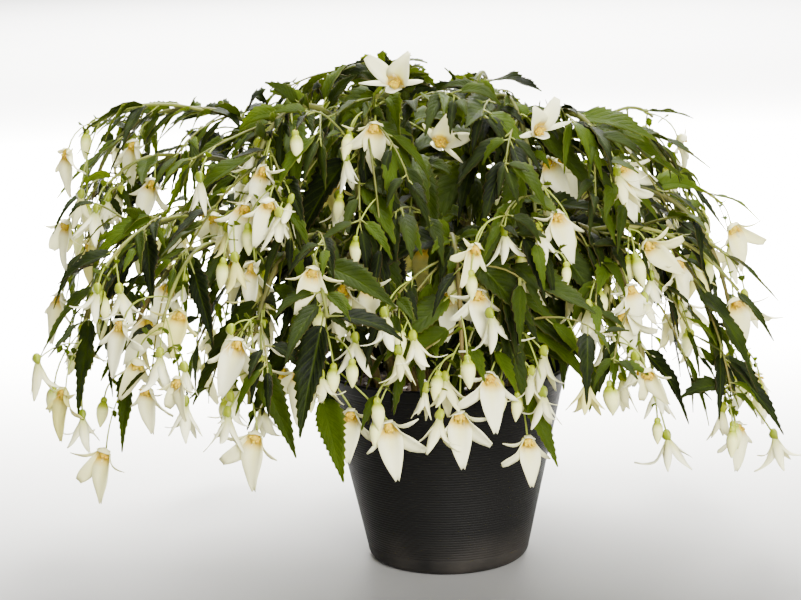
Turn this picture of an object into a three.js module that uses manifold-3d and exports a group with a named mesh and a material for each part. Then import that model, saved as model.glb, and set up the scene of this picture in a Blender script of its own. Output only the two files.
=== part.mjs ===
// A white-flowered Bolivian begonia growing in a round plastic pot.
// Millimetres, +Z up. The origin is the middle of the pot's foot, on the surface that the pot stands on.
// -Y is the front, +X the right.

import * as THREE from "three";
import { mergeVertices } from "three/addons/utils/BufferGeometryUtils.js";
import Module from "manifold-3d";

const wasm = await Module();
wasm.setup();

// Pot
const POT_HEIGHT = 172;
const FOOT_RADIUS = 69.5; // the wall's radius where it would meet the ground
const WALL_FLARE = 0.217; // how much the wall's radius grows for each millimetre of height
const WALL = 2.6;
const FOOT_ROUND = 10; // rounding between the wall and the foot
const FLOOR_TOP = 4;
const RIM_BAND = 11; // height of the thicker band at the rim
const RIM_PROUD = 2.4; // how far the band stands out of the wall
const POT_SEGMENTS = 30;
const DRAIN_HOLES = 4;
const DRAIN_HOLE_RADIUS = 6;
const DRAIN_CIRCLE = 34;

// Soil
const SOIL_EDGE = 147; // height of the soil at the wall
const SOIL_RISE = 5; // how much higher it lies in the middle
const ROOT_DEPTH = 30; // how deep a stem stands in the soil
const GAP = 0.35; // air between solids that touch

// Stems and shoots
const STEM_SIDES = 4;
const STEM_STEPS = 8;
const STEM_RADII = [4.4, 2.0]; // at the root and at the tip
const SHOOT_STEPS = 3;
const SHOOT_RADII = [2.1, 1.7];

// Leaves
const LEAF_LENGTH = 84;
const LEAF_WIDTH = 0.31; // share of the length
const LEAF_THICKNESS = 1.5; // at the midrib
const LEAF_STALK = 0.14; // share of the length that is bare stalk
const LEAF_STALK_RADIUS = 1.0;
const LEAF_KEEL = 0.28; // rise of the blade's edges above its midrib, as a share of the half width
const LEAF_TEETH = 3; // on each side of a large leaf
const SMALL_LEAF = 74; // leaves shorter than this have a tooth less

// Blooms and buds
const TEPAL_LENGTH = 38;
const THROAT_DEPTH = 3.5; // thickness of a bloom where its tepals join
const PEDICEL_RADIUS = 0.85;
const OVARY_RADIUS = 5.5;
const OVARY_LENGTH = 9;
const BUD_LENGTH = 23;
const BUD_RADIUS = 5;

const SEED = 43;

// Each row is one leafy stem. azimuth is the way that it leans, in degrees from +X, and turn how far its
// tip swings sideways. root is how far from the pot's axis it stands, reach how far its tip comes from that
// axis, crest the height of its arch and tip the height of its end. leaves and clusters are how many of each
// it carries, and shoots is 1 if it forks.
const STEMS = [
  { azimuth: 193, turn: 5, root: 57, reach: 318, crest: 318, tip: 200, leaves: 5, clusters: 4, shoots: 1 },
  { azimuth: 180, turn: -6, root: 40, reach: 316, crest: 350, tip: 256, leaves: 5, clusters: 3, shoots: 1 },
  { azimuth: 168, turn: 4, root: 27, reach: 306, crest: 386, tip: 318, leaves: 5, clusters: 3, shoots: 1 },
  { azimuth: 208, turn: -4, root: 57, reach: 288, crest: 298, tip: 184, leaves: 4, clusters: 4, shoots: 1 },
  { azimuth: 226, turn: 6, root: 57, reach: 254, crest: 308, tip: 190, leaves: 4, clusters: 4, shoots: 1 },
  { azimuth: 246, turn: -6, root: 58, reach: 206, crest: 294, tip: 196, leaves: 5, clusters: 3, shoots: 0 },
  { azimuth: 268, turn: 5, root: 57, reach: 186, crest: 304, tip: 218, leaves: 5, clusters: 3, shoots: 0 },
  { azimuth: 290, turn: -5, root: 58, reach: 190, crest: 292, tip: 204, leaves: 5, clusters: 3, shoots: 0 },
  { azimuth: 312, turn: 5, root: 57, reach: 212, crest: 306, tip: 192, leaves: 4, clusters: 3, shoots: 1 },
  { azimuth: 333, turn: 5, root: 57, reach: 246, crest: 300, tip: 160, leaves: 4, clusters: 4, shoots: 1 },
  { azimuth: 353, turn: -5, root: 42, reach: 246, crest: 324, tip: 208, leaves: 4, clusters: 3, shoots: 1 },
  { azimuth: 12, turn: 6, root: 27, reach: 216, crest: 366, tip: 300, leaves: 5, clusters: 3, shoots: 1 },
  { azimuth: 36, turn: -6, root: 57, reach: 240, crest: 322, tip: 206, leaves: 4, clusters: 3, shoots: 1 },
  { azimuth: 66, turn: 6, root: 57, reach: 240, crest: 310, tip: 194, leaves: 4, clusters: 3, shoots: 1 },
  { azimuth: 98, turn: -6, root: 57, reach: 246, crest: 326, tip: 200, leaves: 4, clusters: 3, shoots: 1 },
  { azimuth: 130, turn: 6, root: 57, reach: 268, crest: 312, tip: 194, leaves: 4, clusters: 3, shoots: 1 },
  { azimuth: 212, turn: 8, root: 28, reach: 204, crest: 400, tip: 322, leaves: 5, clusters: 3, shoots: 0 },
  { azimuth: 250, turn: -8, root: 28, reach: 150, crest: 410, tip: 308, leaves: 5, clusters: 3, shoots: 0 },
  { azimuth: 292, turn: 8, root: 28, reach: 146, crest: 406, tip: 300, leaves: 5, clusters: 3, shoots: 0 },
  { azimuth: 330, turn: -6, root: 28, reach: 178, crest: 390, tip: 296, leaves: 5, clusters: 3, shoots: 0 },
  { azimuth: 60, turn: 10, root: 27, reach: 160, crest: 404, tip: 314, leaves: 5, clusters: 2, shoots: 0 },
  { azimuth: 122, turn: -10, root: 27, reach: 178, crest: 414, tip: 332, leaves: 5, clusters: 2, shoots: 0 },
];

// Blooms and buds that show at the front: where the throat is, to the right of the pot's axis and above the
// ground, and how far the large tepal is turned from hanging straight down.
const SHOWN_BLOOMS = [
  { kind: "face", x: -36, z: 427, turn: 150 },
  { kind: "face", x: -3, z: 376, turn: 165 },
  { kind: "face", x: -56, z: 396, turn: 0 },
  { kind: "face", x: 74, z: 384, turn: -140 },
  { kind: "face", x: 85, z: 328, turn: 10 },
  { kind: "face", x: -18, z: 287, turn: 0 },
  { kind: "face", x: -81, z: 273, turn: 5 },
  { kind: "face", x: -154, z: 335, turn: -20 },
  { kind: "face", x: -169, z: 285, turn: 0 },
  { kind: "face", x: -236, z: 245, turn: -40 },
  { kind: "face", x: -239, z: 343, turn: -15 },
  { kind: "face", x: -160, z: 242, turn: -15 },
  { kind: "face", x: -111, z: 218, turn: 0 },
  { kind: "face", x: -55, z: 254, turn: -10 },
  { kind: "face", x: 146, z: 264, turn: 0 },
  { kind: "face", x: 31, z: 206, turn: -8 },
  { kind: "bell", x: 26, z: 268, turn: 0 },
  { kind: "bell", x: 66, z: 268, turn: 30 },
  { kind: "bell", x: 101, z: 245, turn: 0 },
  { kind: "bell", x: 73, z: 222, turn: 20 },
  { kind: "bell", x: 141, z: 189, turn: 0 },
  { kind: "bell", x: 171, z: 146, turn: 0 },
  { kind: "bell", x: 240, z: 100, turn: 0 },
  { kind: "bell", x: 268, z: 130, turn: 0 },
  { kind: "bell", x: -6, z: 207, turn: 10 },
  { kind: "bell", x: -330, z: 210, turn: 0 },
  { kind: "bell", x: -302, z: 158, turn: 0 },
  { kind: "bell", x: -204, z: 192, turn: 0 },
  { kind: "bell", x: -172, z: 186, turn: 30 },
  { kind: "bell", x: -260, z: 272, turn: 0 },
  { kind: "face", x: -76, z: 181, turn: 0 },
  { kind: "face", x: -52, z: 172, turn: 10 },
  { kind: "bud", x: 58, z: 296, turn: 0 },
  { kind: "bud", x: -99, z: 269, turn: 0 },
  { kind: "bud", x: 4, z: 282, turn: 0 },
  { kind: "bud", x: -27, z: 313, turn: 0 },
  { kind: "bud", x: 83, z: 274, turn: 0 },
  { kind: "bud", x: 123, z: 261, turn: 0 },
  { kind: "bud", x: -145, z: 231, turn: 0 },
  { kind: "bud", x: -91, z: 220, turn: 0 },
  { kind: "bud", x: 43, z: 347, turn: 0 },
  { kind: "bud", x: 277, z: 151, turn: 0 },
];

// Leaves that show at the front: where each leaves its stem and where its tip is, to the right of the pot's
// axis and above the ground.
const SHOWN_LEAVES = [
  { from: [-297, 256], to: [-302, 177] },
  { from: [-236, 230], to: [-276, 196] },
  { from: [108, 246], to: [95, 178] },
  { from: [36, 252], to: [72, 194] },
  { from: [15, 248], to: [-47, 200] },
  { from: [-42, 348], to: [-72, 300] },
  { from: [-115, 262], to: [-115, 190] },
  { from: [-92, 402], to: [-60, 438] },
  { from: [36, 402], to: [62, 372] },
  { from: [-187, 362], to: [-205, 310] },
  { from: [8, 346], to: [-30, 280] },
  { from: [-40, 326], to: [-46, 250] },
  { from: [82, 318], to: [120, 250] },
  { from: [118, 336], to: [165, 276] },
  { from: [96, 396], to: [174, 372] },
  { from: [150, 372], to: [228, 334] },
  { from: [247, 200], to: [268, 140] },
  { from: [-262, 372], to: [-322, 330] },
];

// Random draws, the same at each run
let state = SEED;
function draw() {
  state = (Math.imul(state, 1664525) + 1013904223) >>> 0;
  return state / 4294967296;
}
const between = (low, high) => low + (high - low) * draw();

// Vectors as arrays of three numbers
const add = (a, b, k = 1) => [a[0] + b[0] * k, a[1] + b[1] * k, a[2] + b[2] * k];
const dot = (a, b) => a[0] * b[0] + a[1] * b[1] + a[2] * b[2];
const cross = (a, b) => [
  a[1] * b[2] - a[2] * b[1],
  a[2] * b[0] - a[0] * b[2],
  a[0] * b[1] - a[1] * b[0],
];
const scaled = (a, k) => [a[0] * k, a[1] * k, a[2] * k];
const length = (a) => Math.sqrt(dot(a, a));
const unit = (a) => scaled(a, 1 / length(a));
const square = (a, way) => unit(add(a, way, -dot(a, way))); // the part of a that is square to way
const radians = (degrees) => (degrees * Math.PI) / 180;
const UP = [0, 0, 1];
const DOWN = [0, 0, -1];
const FRONT = [0, -1, 0];

// The level way out from the pot's axis at a point
const outward = (p) => unit([p[0], p[1] - 0.01, 0]);

function quadratic(a, b, c, t) {
  const s = 1 - t;
  return [0, 1, 2].map((i) => a[i] * s * s + 2 * b[i] * s * t + c[i] * t * t);
}

function cubic(a, b, c, d, t) {
  const s = 1 - t;
  return a * s * s * s + 3 * b * s * s * t + 3 * c * s * t * t + d * t * t * t;
}

const potRadius = (z) => FOOT_RADIUS + WALL_FLARE * z;
const potInside = (z) => potRadius(z) - WALL;

// A stem rises from the soil, arches at its crest and hangs to its tip, all in one upright plane.
function stemPoint(stem, t) {
  const low = SOIL_EDGE - ROOT_DEPTH;
  const crown = (stem.crest - (low + stem.tip) / 8) / 0.75;
  const level = (r, degrees) => [r * Math.cos(radians(degrees)), r * Math.sin(radians(degrees)), 0];
  const root = level(stem.root, stem.azimuth);
  const span = add(level(stem.reach, stem.azimuth + stem.turn), root, -1);
  return add(add(root, span, cubic(0, 0.12, 0.93, 1, t)), UP, cubic(low, crown, crown, stem.tip, t));
}

// A stem or shoot runs straight from one ring to the next, and what it carries stands on its middle line.
// taken lists the places, as shares of its length, that carry something or are bends.
function makeAxis(point, steps, radii) {
  const taken = Array.from({ length: steps + 1 }, (_, i) => i / steps);
  return { rings: taken.map(point), radii, taken };
}

// The nearest place on an axis that keeps clear of what it carries already
const SPACING = 6.5;
function freePlace(axis, wanted) {
  const long = axis.rings.slice(1).reduce((sum, p, i) => sum + length(add(p, axis.rings[i], -1)), 0);
  for (let k = 0; k < 60; k++) {
    const t = wanted + ((k % 2 ? 1 : -1) * Math.ceil(k / 2) * 1.5) / long;
    if (t > 0.2 && t < 1 && axis.taken.every((used) => Math.abs(used - t) * long > SPACING)) return t;
  }
  return wanted;
}

function axisPart(axis, t) {
  const steps = axis.rings.length - 1;
  const i = Math.min(Math.floor(t * steps), steps - 1);
  return [axis.rings[i], axis.rings[i + 1], t * steps - i];
}

function axisPoint(axis, t) {
  const [a, b, share] = axisPart(axis, t);
  return add(scaled(a, 1 - share), b, share);
}

function axisWay(axis, t) {
  const [a, b] = axisPart(axis, t);
  return unit(add(b, a, -1));
}

const axisRadius = (axis, t) => axis.radii[0] + (axis.radii[1] - axis.radii[0]) * t;

function axisBalls(axis, count, nearUntil) {
  return Array.from({ length: count + 1 }, (_, n) => {
    const t = n / count;
    return [axisPoint(axis, t), axisRadius(axis, t) + 1, t < nearUntil];
  });
}

// Room that is taken: balls on a grid, each with the stem that it belongs to
const CELL = 12;
const room = new Map();
const cellOf = (x) => Math.floor(x / CELL) + 64;
const keyOf = (i, j, k) => (i * 128 + j) * 128 + k;

function take(balls, owner) {
  for (const [p, r] of balls) {
    const key = keyOf(cellOf(p[0]), cellOf(p[1]), cellOf(p[2]));
    if (!room.has(key)) room.set(key, []);
    room.get(key).push([p, r, owner]);
  }
}

// How far the nearest ball of another stem, and the nearest of the same stem, lies outside the touching
// distance. Balls near the piece's own root don't count against its stem.
const FLOOR_CLEAR = 3;
const POT_CLEAR = 1;
function clearance(balls, owner) {
  let others = 99;
  let own = 99;
  for (const [p, r, nearRoot] of balls) {
    if (p[2] < r + FLOOR_CLEAR) return [-99, -99];
    const pot = Math.sqrt(p[0] * p[0] + p[1] * p[1]) - potRadius(p[2]) - RIM_PROUD - r;
    if (p[2] < POT_HEIGHT + r + 2 && pot < POT_CLEAR) return [-99, -99];
    const [i, j, k] = p.map(cellOf);
    for (let x = i - 1; x <= i + 1; x++)
      for (let y = j - 1; y <= j + 1; y++)
        for (let z = k - 1; z <= k + 1; z++)
          for (const [q, s, whose] of room.get(keyOf(x, y, z)) || []) {
            const apart = length(add(p, q, -1)) - r - s;
            if (whose !== owner) others = Math.min(others, apart);
            else if (!nearRoot) own = Math.min(own, apart);
          }
  }
  return [others, own];
}

// Tries a piece in several ways and keeps the first that is clear of all the others.
const OTHERS_CLEAR = 1.2;
const OWN_CLEAR = 0.6;
function place(owner, tries, make) {
  for (let n = 0; n < tries; n++) {
    const piece = make(n / tries);
    const [others, own] = clearance(piece.balls, owner);
    if (others < OTHERS_CLEAR || own < OWN_CLEAR) continue;
    take(piece.balls, owner);
    return piece;
  }
  return null;
}

// Leaf: a stalk and a lopsided, toothed, pointed blade along a drooping midrib
function leafRib(leaf, s) {
  const { base, way, droop } = leaf;
  const end = add(add(base, way, leaf.length * (1 - 0.3 * droop)), DOWN, leaf.length * droop * 0.8);
  return quadratic(base, add(base, way, leaf.length * 0.5), end, s);
}

function leafFrame(leaf, s) {
  const step = 0.01;
  const ahead = unit(add(leafRib(leaf, s + step), leafRib(leaf, s - step), -1));
  const across = unit(cross(leaf.face, ahead));
  return { at: leafRib(leaf, s), across, normal: cross(ahead, across) };
}

// Share of the leaf's length at u, from 0 where the blade starts to 1 at its tip
const bladeShare = (u) => LEAF_STALK + (1 - LEAF_STALK) * u;

function bladeHalf(leaf, u, side) {
  const lopsided = side * leaf.broad > 0 ? 1.2 : 0.8;
  return leaf.length * LEAF_WIDTH * 0.5 * lopsided * Math.sin(Math.PI * Math.sqrt(u * 0.98 + 0.01));
}

function bladePoint(leaf, u, side, reach) {
  const frame = leafFrame(leaf, bladeShare(u));
  const half = bladeHalf(leaf, u, side) * reach;
  return add(add(frame.at, frame.across, side * half), frame.normal, LEAF_KEEL * half);
}

function withLeafBalls(leaf) {
  leaf.balls = [[leafRib(leaf, 0.09), LEAF_STALK_RADIUS, true]];
  for (let n = 1; n <= 9; n++) {
    const u = n / 9;
    const nearRoot = n < 2;
    leaf.balls.push([leafRib(leaf, bladeShare(u)), u < 1 ? 3.5 : 2, nearRoot]);
    if (u < 1)
      for (const side of [-1, 1])
        for (const reach of [0.6, 1]) leaf.balls.push([bladePoint(leaf, u, side, reach), 3, nearRoot]);
  }
  return leaf;
}

function makeLeaf(base, stemWay, side, long) {
  const out = outward(base);
  const aside = scaled(unit(cross(UP, add(stemWay, out, 0.02))), side);
  const level = add(scaled(stemWay, between(0.3, 1.0)), aside, between(0.3, 1.3));
  const way = unit(add(add(level, out, 0.35), UP, between(-0.8, 0.25)));
  const face = square(add(add(UP, out, between(0.4, 1.1)), FRONT, 0.12), way);
  return withLeafBalls({ base, way, face, length: long, droop: between(0.1, 0.6), broad: side });
}

// A bloom or bud hangs on its own thin stalk, the pedicel.
const pedicelPoint = (piece, t) => quadratic(piece.from, piece.over, piece.base, t);

function makePedicel(from, side, long) {
  const out = outward(from);
  const level = add(scaled(out, between(0.1, 0.75)), unit(cross(UP, out)), side * between(-0.2, 0.9));
  const way = unit(add(level, UP, between(-0.9, 0.1)));
  const base = add(add(from, way, long * 0.72), DOWN, long * 0.42);
  return { from, over: add(from, way, long * 0.6), base };
}

// Tepals stand round the bloom's axis. turn is the angle, length and half are the length and half width as
// shares of the bloom's size, and flare is how far a tepal opens. A face bloom opens to the front with one
// large tepal hanging, one broad one at a side and two narrow ones. A bell hangs under an ovary.
const TEPALS = {
  face: [
    { turn: 0, length: 1.0, half: 0.2, flare: 0.38 },
    { turn: 85, length: 0.78, half: 0.17, flare: 0.62 },
    { turn: 160, length: 0.72, half: 0.09, flare: 0.9 },
    { turn: 272, length: 0.62, half: 0.08, flare: 0.8 },
  ],
  bell: [
    { turn: 0, length: 0.86, half: 0.16, flare: 0.36 },
    { turn: 90, length: 0.8, half: 0.14, flare: 0.5 },
    { turn: 180, length: 0.84, half: 0.16, flare: 0.34 },
    { turn: 270, length: 0.8, half: 0.14, flare: 0.44 },
  ],
};

// A point at an angle round the bloom's axis, at a distance from it and along it. Angle 0 hangs lowest.
function bloomPoint(bloom, angle, radius, along) {
  const aside = cross(bloom.axis, bloom.drop);
  const way = add(scaled(bloom.drop, Math.cos(radians(angle))), aside, Math.sin(radians(angle)));
  return add(add(bloom.base, way, radius), bloom.axis, along);
}

const tepalAngle = (bloom, turn) => bloom.hand * turn + bloom.turn;

// Distance from the bloom's axis and along it on a tepal's middle line, from 0 at the base to 1 at the tip
function tepalMiddle(bloom, tepal, t) {
  const long = bloom.size * tepal.length;
  const radius = long * (0.1 * Math.sqrt(t) + 0.06 * t + 0.9 * tepal.flare * t * t);
  return [radius, long * t * (1 - 0.42 * tepal.flare * t)];
}

function makeBloom(pedicel, kind, turn, lean) {
  const out = outward(pedicel.base);
  const open = add(scaled(out, 0.7), FRONT, out[1] < 0.35 ? 0.75 : 0);
  const wobble = [between(-0.2, 0.2), between(-0.2, 0.2), between(-0.15, 0.1)];
  const axis = unit(add(add(DOWN, kind === "face" ? open : out, lean), wobble));
  const hand = draw() < 0.5 ? -1 : 1;
  const size = (kind === "bud" ? BUD_LENGTH : TEPAL_LENGTH) * between(0.88, 1.06);
  const drop = square([0.02, 0.01, -1], axis);
  const bloom = { ...pedicel, kind, axis, drop, hand, turn, size };
  bloom.balls = [0.3, 0.5, 0.7, 0.9].map((t) => [pedicelPoint(bloom, t), 1.6, t < 0.4]);
  if (kind === "bud") {
    for (const t of [0.2, 0.5, 0.8]) bloom.balls.push([add(bloom.base, axis, size * t), BUD_RADIUS, false]);
    return bloom;
  }
  bloom.balls.push([add(bloom.base, axis, 4), 5, false]);
  for (const tepal of TEPALS[kind])
    for (const t of [0.45, 0.75, 1]) {
      const [radius, along] = tepalMiddle(bloom, tepal, t);
      const near = t < 1 ? bloom.size * tepal.half * 0.6 : 2;
      bloom.balls.push([bloomPoint(bloom, tepalAngle(bloom, tepal.turn), radius, along), near, false]);
    }
  return bloom;
}

const leanOf = (kind) => (kind === "face" ? between(0.8, 1.2) : between(0.0, 0.35));

// Growing the plant: stems first, then shoots, then what shows at the front, then the rest in rounds
const plant = STEMS.map((stem, index) => ({
  name: "leafy_stem_" + String(index + 1).padStart(2, "0"),
  stem,
  index,
  axes: [makeAxis((t) => stemPoint(stem, t), STEM_STEPS, STEM_RADII)],
  leaves: [],
  blooms: [],
}));

for (const grown of plant) take(axisBalls(grown.axes[0], 70, 0), grown.index);

const SHOOT_TRIES = 16;
for (const grown of plant.filter(({ stem }) => stem.shoots)) {
  const shoot = place(grown.index, SHOOT_TRIES, (share) => {
    const start = 0.58 + 0.1 * share;
    const from = axisPoint(grown.axes[0], start);
    const aside = scaled(unit(cross(UP, outward(from))), share > 0.5 ? -1 : 1);
    const long = between(90, 140);
    const go = unit(add(scaled(axisWay(grown.axes[0], start), 0.8), aside, between(0.45, 0.95)));
    const over = add(add(from, go, long * 0.55), UP, long * between(0.08, 0.2));
    const to = add(add(from, go, long * 0.95), UP, -long * between(0.15, 0.4));
    const axis = makeAxis((t) => quadratic(from, over, to, t), SHOOT_STEPS, SHOOT_RADII);
    return { axis, balls: axisBalls(axis, 22, 0.27) };
  });
  if (shoot) grown.axes.push(shoot.axis);
}

// Grows a piece at a free place near the wanted one, if one of its tries is clear.
function grow(grown, axis, wanted, tries, list, make) {
  const t = freePlace(axis, wanted);
  const made = place(grown.index, tries, () => make(axisPoint(axis, t), axisWay(axis, t)));
  if (!made) return false;
  axis.taken.push(t);
  list.push(made);
  return true;
}

// Places on the stems within reach of a point seen from the front, the nearest and foremost first
const BEHIND = 0.12; // what a millimetre further back counts against a place
const CHOICES = 12;
function nearestPlaces(x, z, reach) {
  const places = [];
  for (const grown of plant)
    for (const axis of grown.axes)
      for (let t = 0.24; t < 1; t += 0.04) {
        const p = axisPoint(axis, t);
        const far = Math.sqrt((p[0] - x) ** 2 + (p[2] - z) ** 2);
        if (far < reach) places.push({ grown, axis, t, cost: far + BEHIND * p[1] });
      }
  return places.sort((a, b) => a.cost - b.cost).slice(0, CHOICES);
}

const SHOWN_TRIES = 12;
const PEDICEL_RISE = 24; // how far above a shown bloom its stem is looked for
for (const shown of SHOWN_BLOOMS)
  nearestPlaces(shown.x, shown.z + PEDICEL_RISE, 52).some(({ grown, axis, t }) =>
    grow(grown, axis, t, SHOWN_TRIES, grown.blooms, (from) => {
      const base = [shown.x + between(-3, 3), from[1] + between(-26, -6), shown.z + between(-3, 3)];
      const over = add(add(scaled(add(from, base), 0.5), FRONT, between(2, 8)), UP, between(6, 14));
      return makeBloom({ from, over, base }, shown.kind, shown.turn, leanOf(shown.kind));
    }),
  );

for (const shown of SHOWN_LEAVES)
  nearestPlaces(shown.from[0], shown.from[1], 40).some(({ grown, axis, t }) =>
    grow(grown, axis, t, SHOWN_TRIES, grown.leaves, (base) => {
      const tip = [shown.to[0] + between(-4, 4), base[1] + between(-34, -8), shown.to[1] + between(-4, 4)];
      const span = add(tip, base, -1);
      const long = Math.min(1.06 * length(span), LEAF_LENGTH * 1.15);
      const way = unit(add(span, UP, 0.2 * long));
      const face = square(add(add(UP, outward(base), 0.8), FRONT, 0.5), way);
      return withLeafBalls({ base, way, face, length: long, droop: 0.25, broad: draw() < 0.5 ? -1 : 1 });
    }),
  );

// Flower clusters hang from the outer part of each axis: a bloom and a bud, or two blooms.
const CLUSTER_TRIES = 12;
const MOST_BLOOMS = 6; // on one stem with its shoots
for (let round = 0; round < 4; round++)
  for (const grown of plant)
    for (const [a, axis] of grown.axes.entries()) {
      const count = a === 0 ? grown.stem.clusters : 2;
      if (round >= count) continue;
      const t = a === 0 ? 0.98 - (0.5 * round) / (count - 1) : 0.97 - 0.45 * round;
      const kinds = round % 2 === a ? ["face", "bud"] : ["bell", "face"];
      for (const [m, kind] of kinds.entries()) {
        if (grown.blooms.length >= MOST_BLOOMS) continue;
        const side = (m + round) % 2 ? -1 : 1;
        grow(grown, axis, t, CLUSTER_TRIES, grown.blooms, (from) =>
          makeBloom(makePedicel(from, side, between(26, 60)), kind, between(-18, 18), leanOf(kind)),
        );
      }
    }

// Leaves stand left and right in turn, the largest in the middle of the stem.
const LEAF_TRIES = 18;
for (let round = 0; round < 6; round++)
  for (const grown of plant)
    for (const [a, axis] of grown.axes.entries()) {
      const count = a === 0 ? grown.stem.leaves : 2;
      if (round >= count) continue;
      const t = 0.995 - ((a === 0 ? 0.66 : 0.5) * round) / (count - 1);
      const side = (round + a) % 2 ? -1 : 1;
      const grownness = (a === 0 ? 1 : 0.8) * (0.62 + 0.5 * Math.sin(Math.PI * Math.min(1, 1.15 - t)));
      grow(grown, axis, t, LEAF_TRIES, grown.leaves, (base, stemWay) =>
        makeLeaf(base, stemWay, side, LEAF_LENGTH * grownness * between(0.85, 1.15)),
      );
    }

// Solids. Faces that are flat within FLATNESS count as one where solids are joined.
const FLATNESS = 0.02;
function solidOf(positions, faces) {
  const made = new wasm.Manifold(
    new wasm.Mesh({
      numProp: 3,
      vertProperties: new Float32Array(positions.flat()),
      triVerts: new Uint32Array(faces.flat()),
    }),
  );
  if (made.volume() > 0) return made.setTolerance(FLATNESS);
  return solidOf(positions, faces.map(([a, b, c]) => [a, c, b]));
}

// Joins two rows of corners by triangles, always moving on in the row whose next corner comes first. A corner
// has a place p, its number n, and a, the angle or share by which it is paired.
function stitch(row, next, faces) {
  let i = 0;
  let j = 0;
  while (i < row.length - 1 || j < next.length - 1) {
    const onRow = j === next.length - 1 || (i < row.length - 1 && row[i + 1].a <= next[j + 1].a);
    const face = [row[i].n, next[j].n, onRow ? row[i + 1].n : next[j + 1].n];
    if (new Set(face).size === 3) faces.push(face);
    if (onRow) i++;
    else j++;
  }
}

// A closed skin over a row of rings of corners, with flat ends
function skin(rings) {
  const positions = [];
  const faces = [];
  for (const corner of rings.flat()) corner.n = -1;
  for (const corner of rings.flat()) if (corner.n < 0) corner.n = positions.push(corner.p) - 1;
  const closed = (ring) => (ring.length > 1 ? [...ring, { n: ring[0].n, a: ring[0].a + 360 }] : ring);
  for (let i = 1; i < rings.length; i++) stitch(closed(rings[i - 1]), closed(rings[i]), faces);
  const first = rings[0].map((corner) => corner.n);
  const last = rings.at(-1).map((corner) => corner.n);
  for (let k = 1; k < first.length - 1; k++) faces.push([first[0], first[k], first[k + 1]]);
  for (let k = 1; k < last.length - 1; k++) faces.push([last[0], last[k + 1], last[k]]);
  return solidOf(positions, faces);
}

// Rings of corners square to a line of points, the first two alike so that the sides between them are flat.
// The last ring's first corner is turned by the given angle from the side given.
function hoops(points, radii, sides, side, phase = 0) {
  let across = side;
  const rings = [];
  for (let i = points.length - 1; i >= 0; i--) {
    const from = Math.max(i, 1);
    const way = unit(add(points[Math.min(from + 1, points.length - 1)], points[from - 1], -1));
    across = square(across, way);
    const other = cross(way, across);
    rings.unshift(
      Array.from({ length: sides }, (_, k) => {
        const a = (360 * k) / sides + phase;
        const radial = add(scaled(across, Math.cos(radians(a))), other, Math.sin(radians(a)));
        return { p: add(points[i], radial, radii[i]), a };
      }),
    );
  }
  return rings;
}

function axisSolid(axis, count = axis.rings.length, spare = 0) {
  const steps = axis.rings.length - 1;
  const points = axis.rings.slice(0, count);
  const radii = points.map((_, i) => axisRadius(axis, i / steps) + spare);
  const [start, middle, end] = [axis.rings[0], axis.rings[Math.floor(steps / 2)], axis.rings[steps]];
  const side = unit(cross(add(middle, start, -1), add(end, start, -1)));
  return skin(hoops(points, radii, STEM_SIDES, side, 180 / STEM_SIDES));
}

function leafSolid(leaf) {
  const positions = [];
  const corner = (p, a) => ({ n: positions.push(p) - 1, a });
  const { across, normal } = leafFrame(leaf, LEAF_STALK);
  const stalk = [0, LEAF_STALK].map((s) => {
    const at = leafRib(leaf, s);
    const sides = [-1, 1].map((side) => corner(add(at, across, side * LEAF_STALK_RADIUS), 0));
    return [...sides, corner(add(at, normal, -1.4 * LEAF_STALK_RADIUS), 0)];
  });
  const tip = corner(leafRib(leaf, 1), 1);
  const teeth = leaf.length < SMALL_LEAF ? LEAF_TEETH - 1 : LEAF_TEETH;
  const edges = [-1, 1].map((side, k) => {
    const edge = [stalk[1][k]];
    for (let tooth = 0; tooth < teeth; tooth++)
      for (const [u, reach] of [
        [(tooth + 0.15) / teeth, tooth ? 0.82 : 0.9],
        [(tooth + 0.75) / teeth, 1.12],
      ])
        edge.push(corner(bladePoint(leaf, u, side, reach), u));
    return [...edge, tip];
  });
  const rib = (u, side) => {
    const frame = leafFrame(leaf, bladeShare(u));
    return corner(add(frame.at, frame.normal, side * LEAF_THICKNESS * 0.5), u);
  };
  const above = [rib(0.3, 1), rib(0.68, 1), tip];
  const below = [stalk[1][2], rib(0.3, -1), rib(0.68, -1), tip];
  const [[startLeft, startRight, startLow], [footLeft, footRight, footLow]] = stalk.map((ring) =>
    ring.map(({ n }) => n),
  );
  const faces = [
    [startLeft, startLow, startRight],
    [startLeft, footLow, startLow],
    [startLeft, footLeft, footLow],
    [startLow, footLow, footRight],
    [startLow, footRight, startRight],
    [startLeft, startRight, footRight],
    [startLeft, footRight, footLeft],
    [footLeft, footRight, above[0].n],
  ];
  const flipped = [];
  stitch(above, edges[1], faces);
  stitch(below, edges[0], faces);
  stitch(above, edges[0], flipped);
  stitch(below, edges[1], flipped);
  return solidOf(positions, [...faces, ...flipped.map(([a, b, c]) => [a, c, b])]);
}

// The outline of an open bloom: a notch, two shoulders and a tip for each tepal
function tepalOutline(bloom) {
  const tepals = TEPALS[bloom.kind];
  const outline = [];
  const put = (turn, radius, along) => {
    const a = tepalAngle(bloom, turn);
    outline.push({ p: bloomPoint(bloom, a, radius, along), a: (a + 720) % 360 });
  };
  tepals.forEach((tepal, k) => {
    const [radius, along] = tepalMiddle(bloom, tepal, 0.62);
    const half = bloom.size * tepal.half;
    const swing = (Math.atan2(half, radius) * 180) / Math.PI;
    const shoulder = Math.sqrt(half * half + radius * radius);
    for (const side of [-1, 1]) put(tepal.turn + side * swing, shoulder, along);
    put(tepal.turn, ...tepalMiddle(bloom, tepal, 1));
    const following = tepals[k + 1] ? tepals[k + 1].turn : 360;
    put((tepal.turn + following) / 2, bloom.size * 0.13, bloom.size * 0.16);
  });
  return outline.sort((a, b) => a.a - b.a);
}

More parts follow.
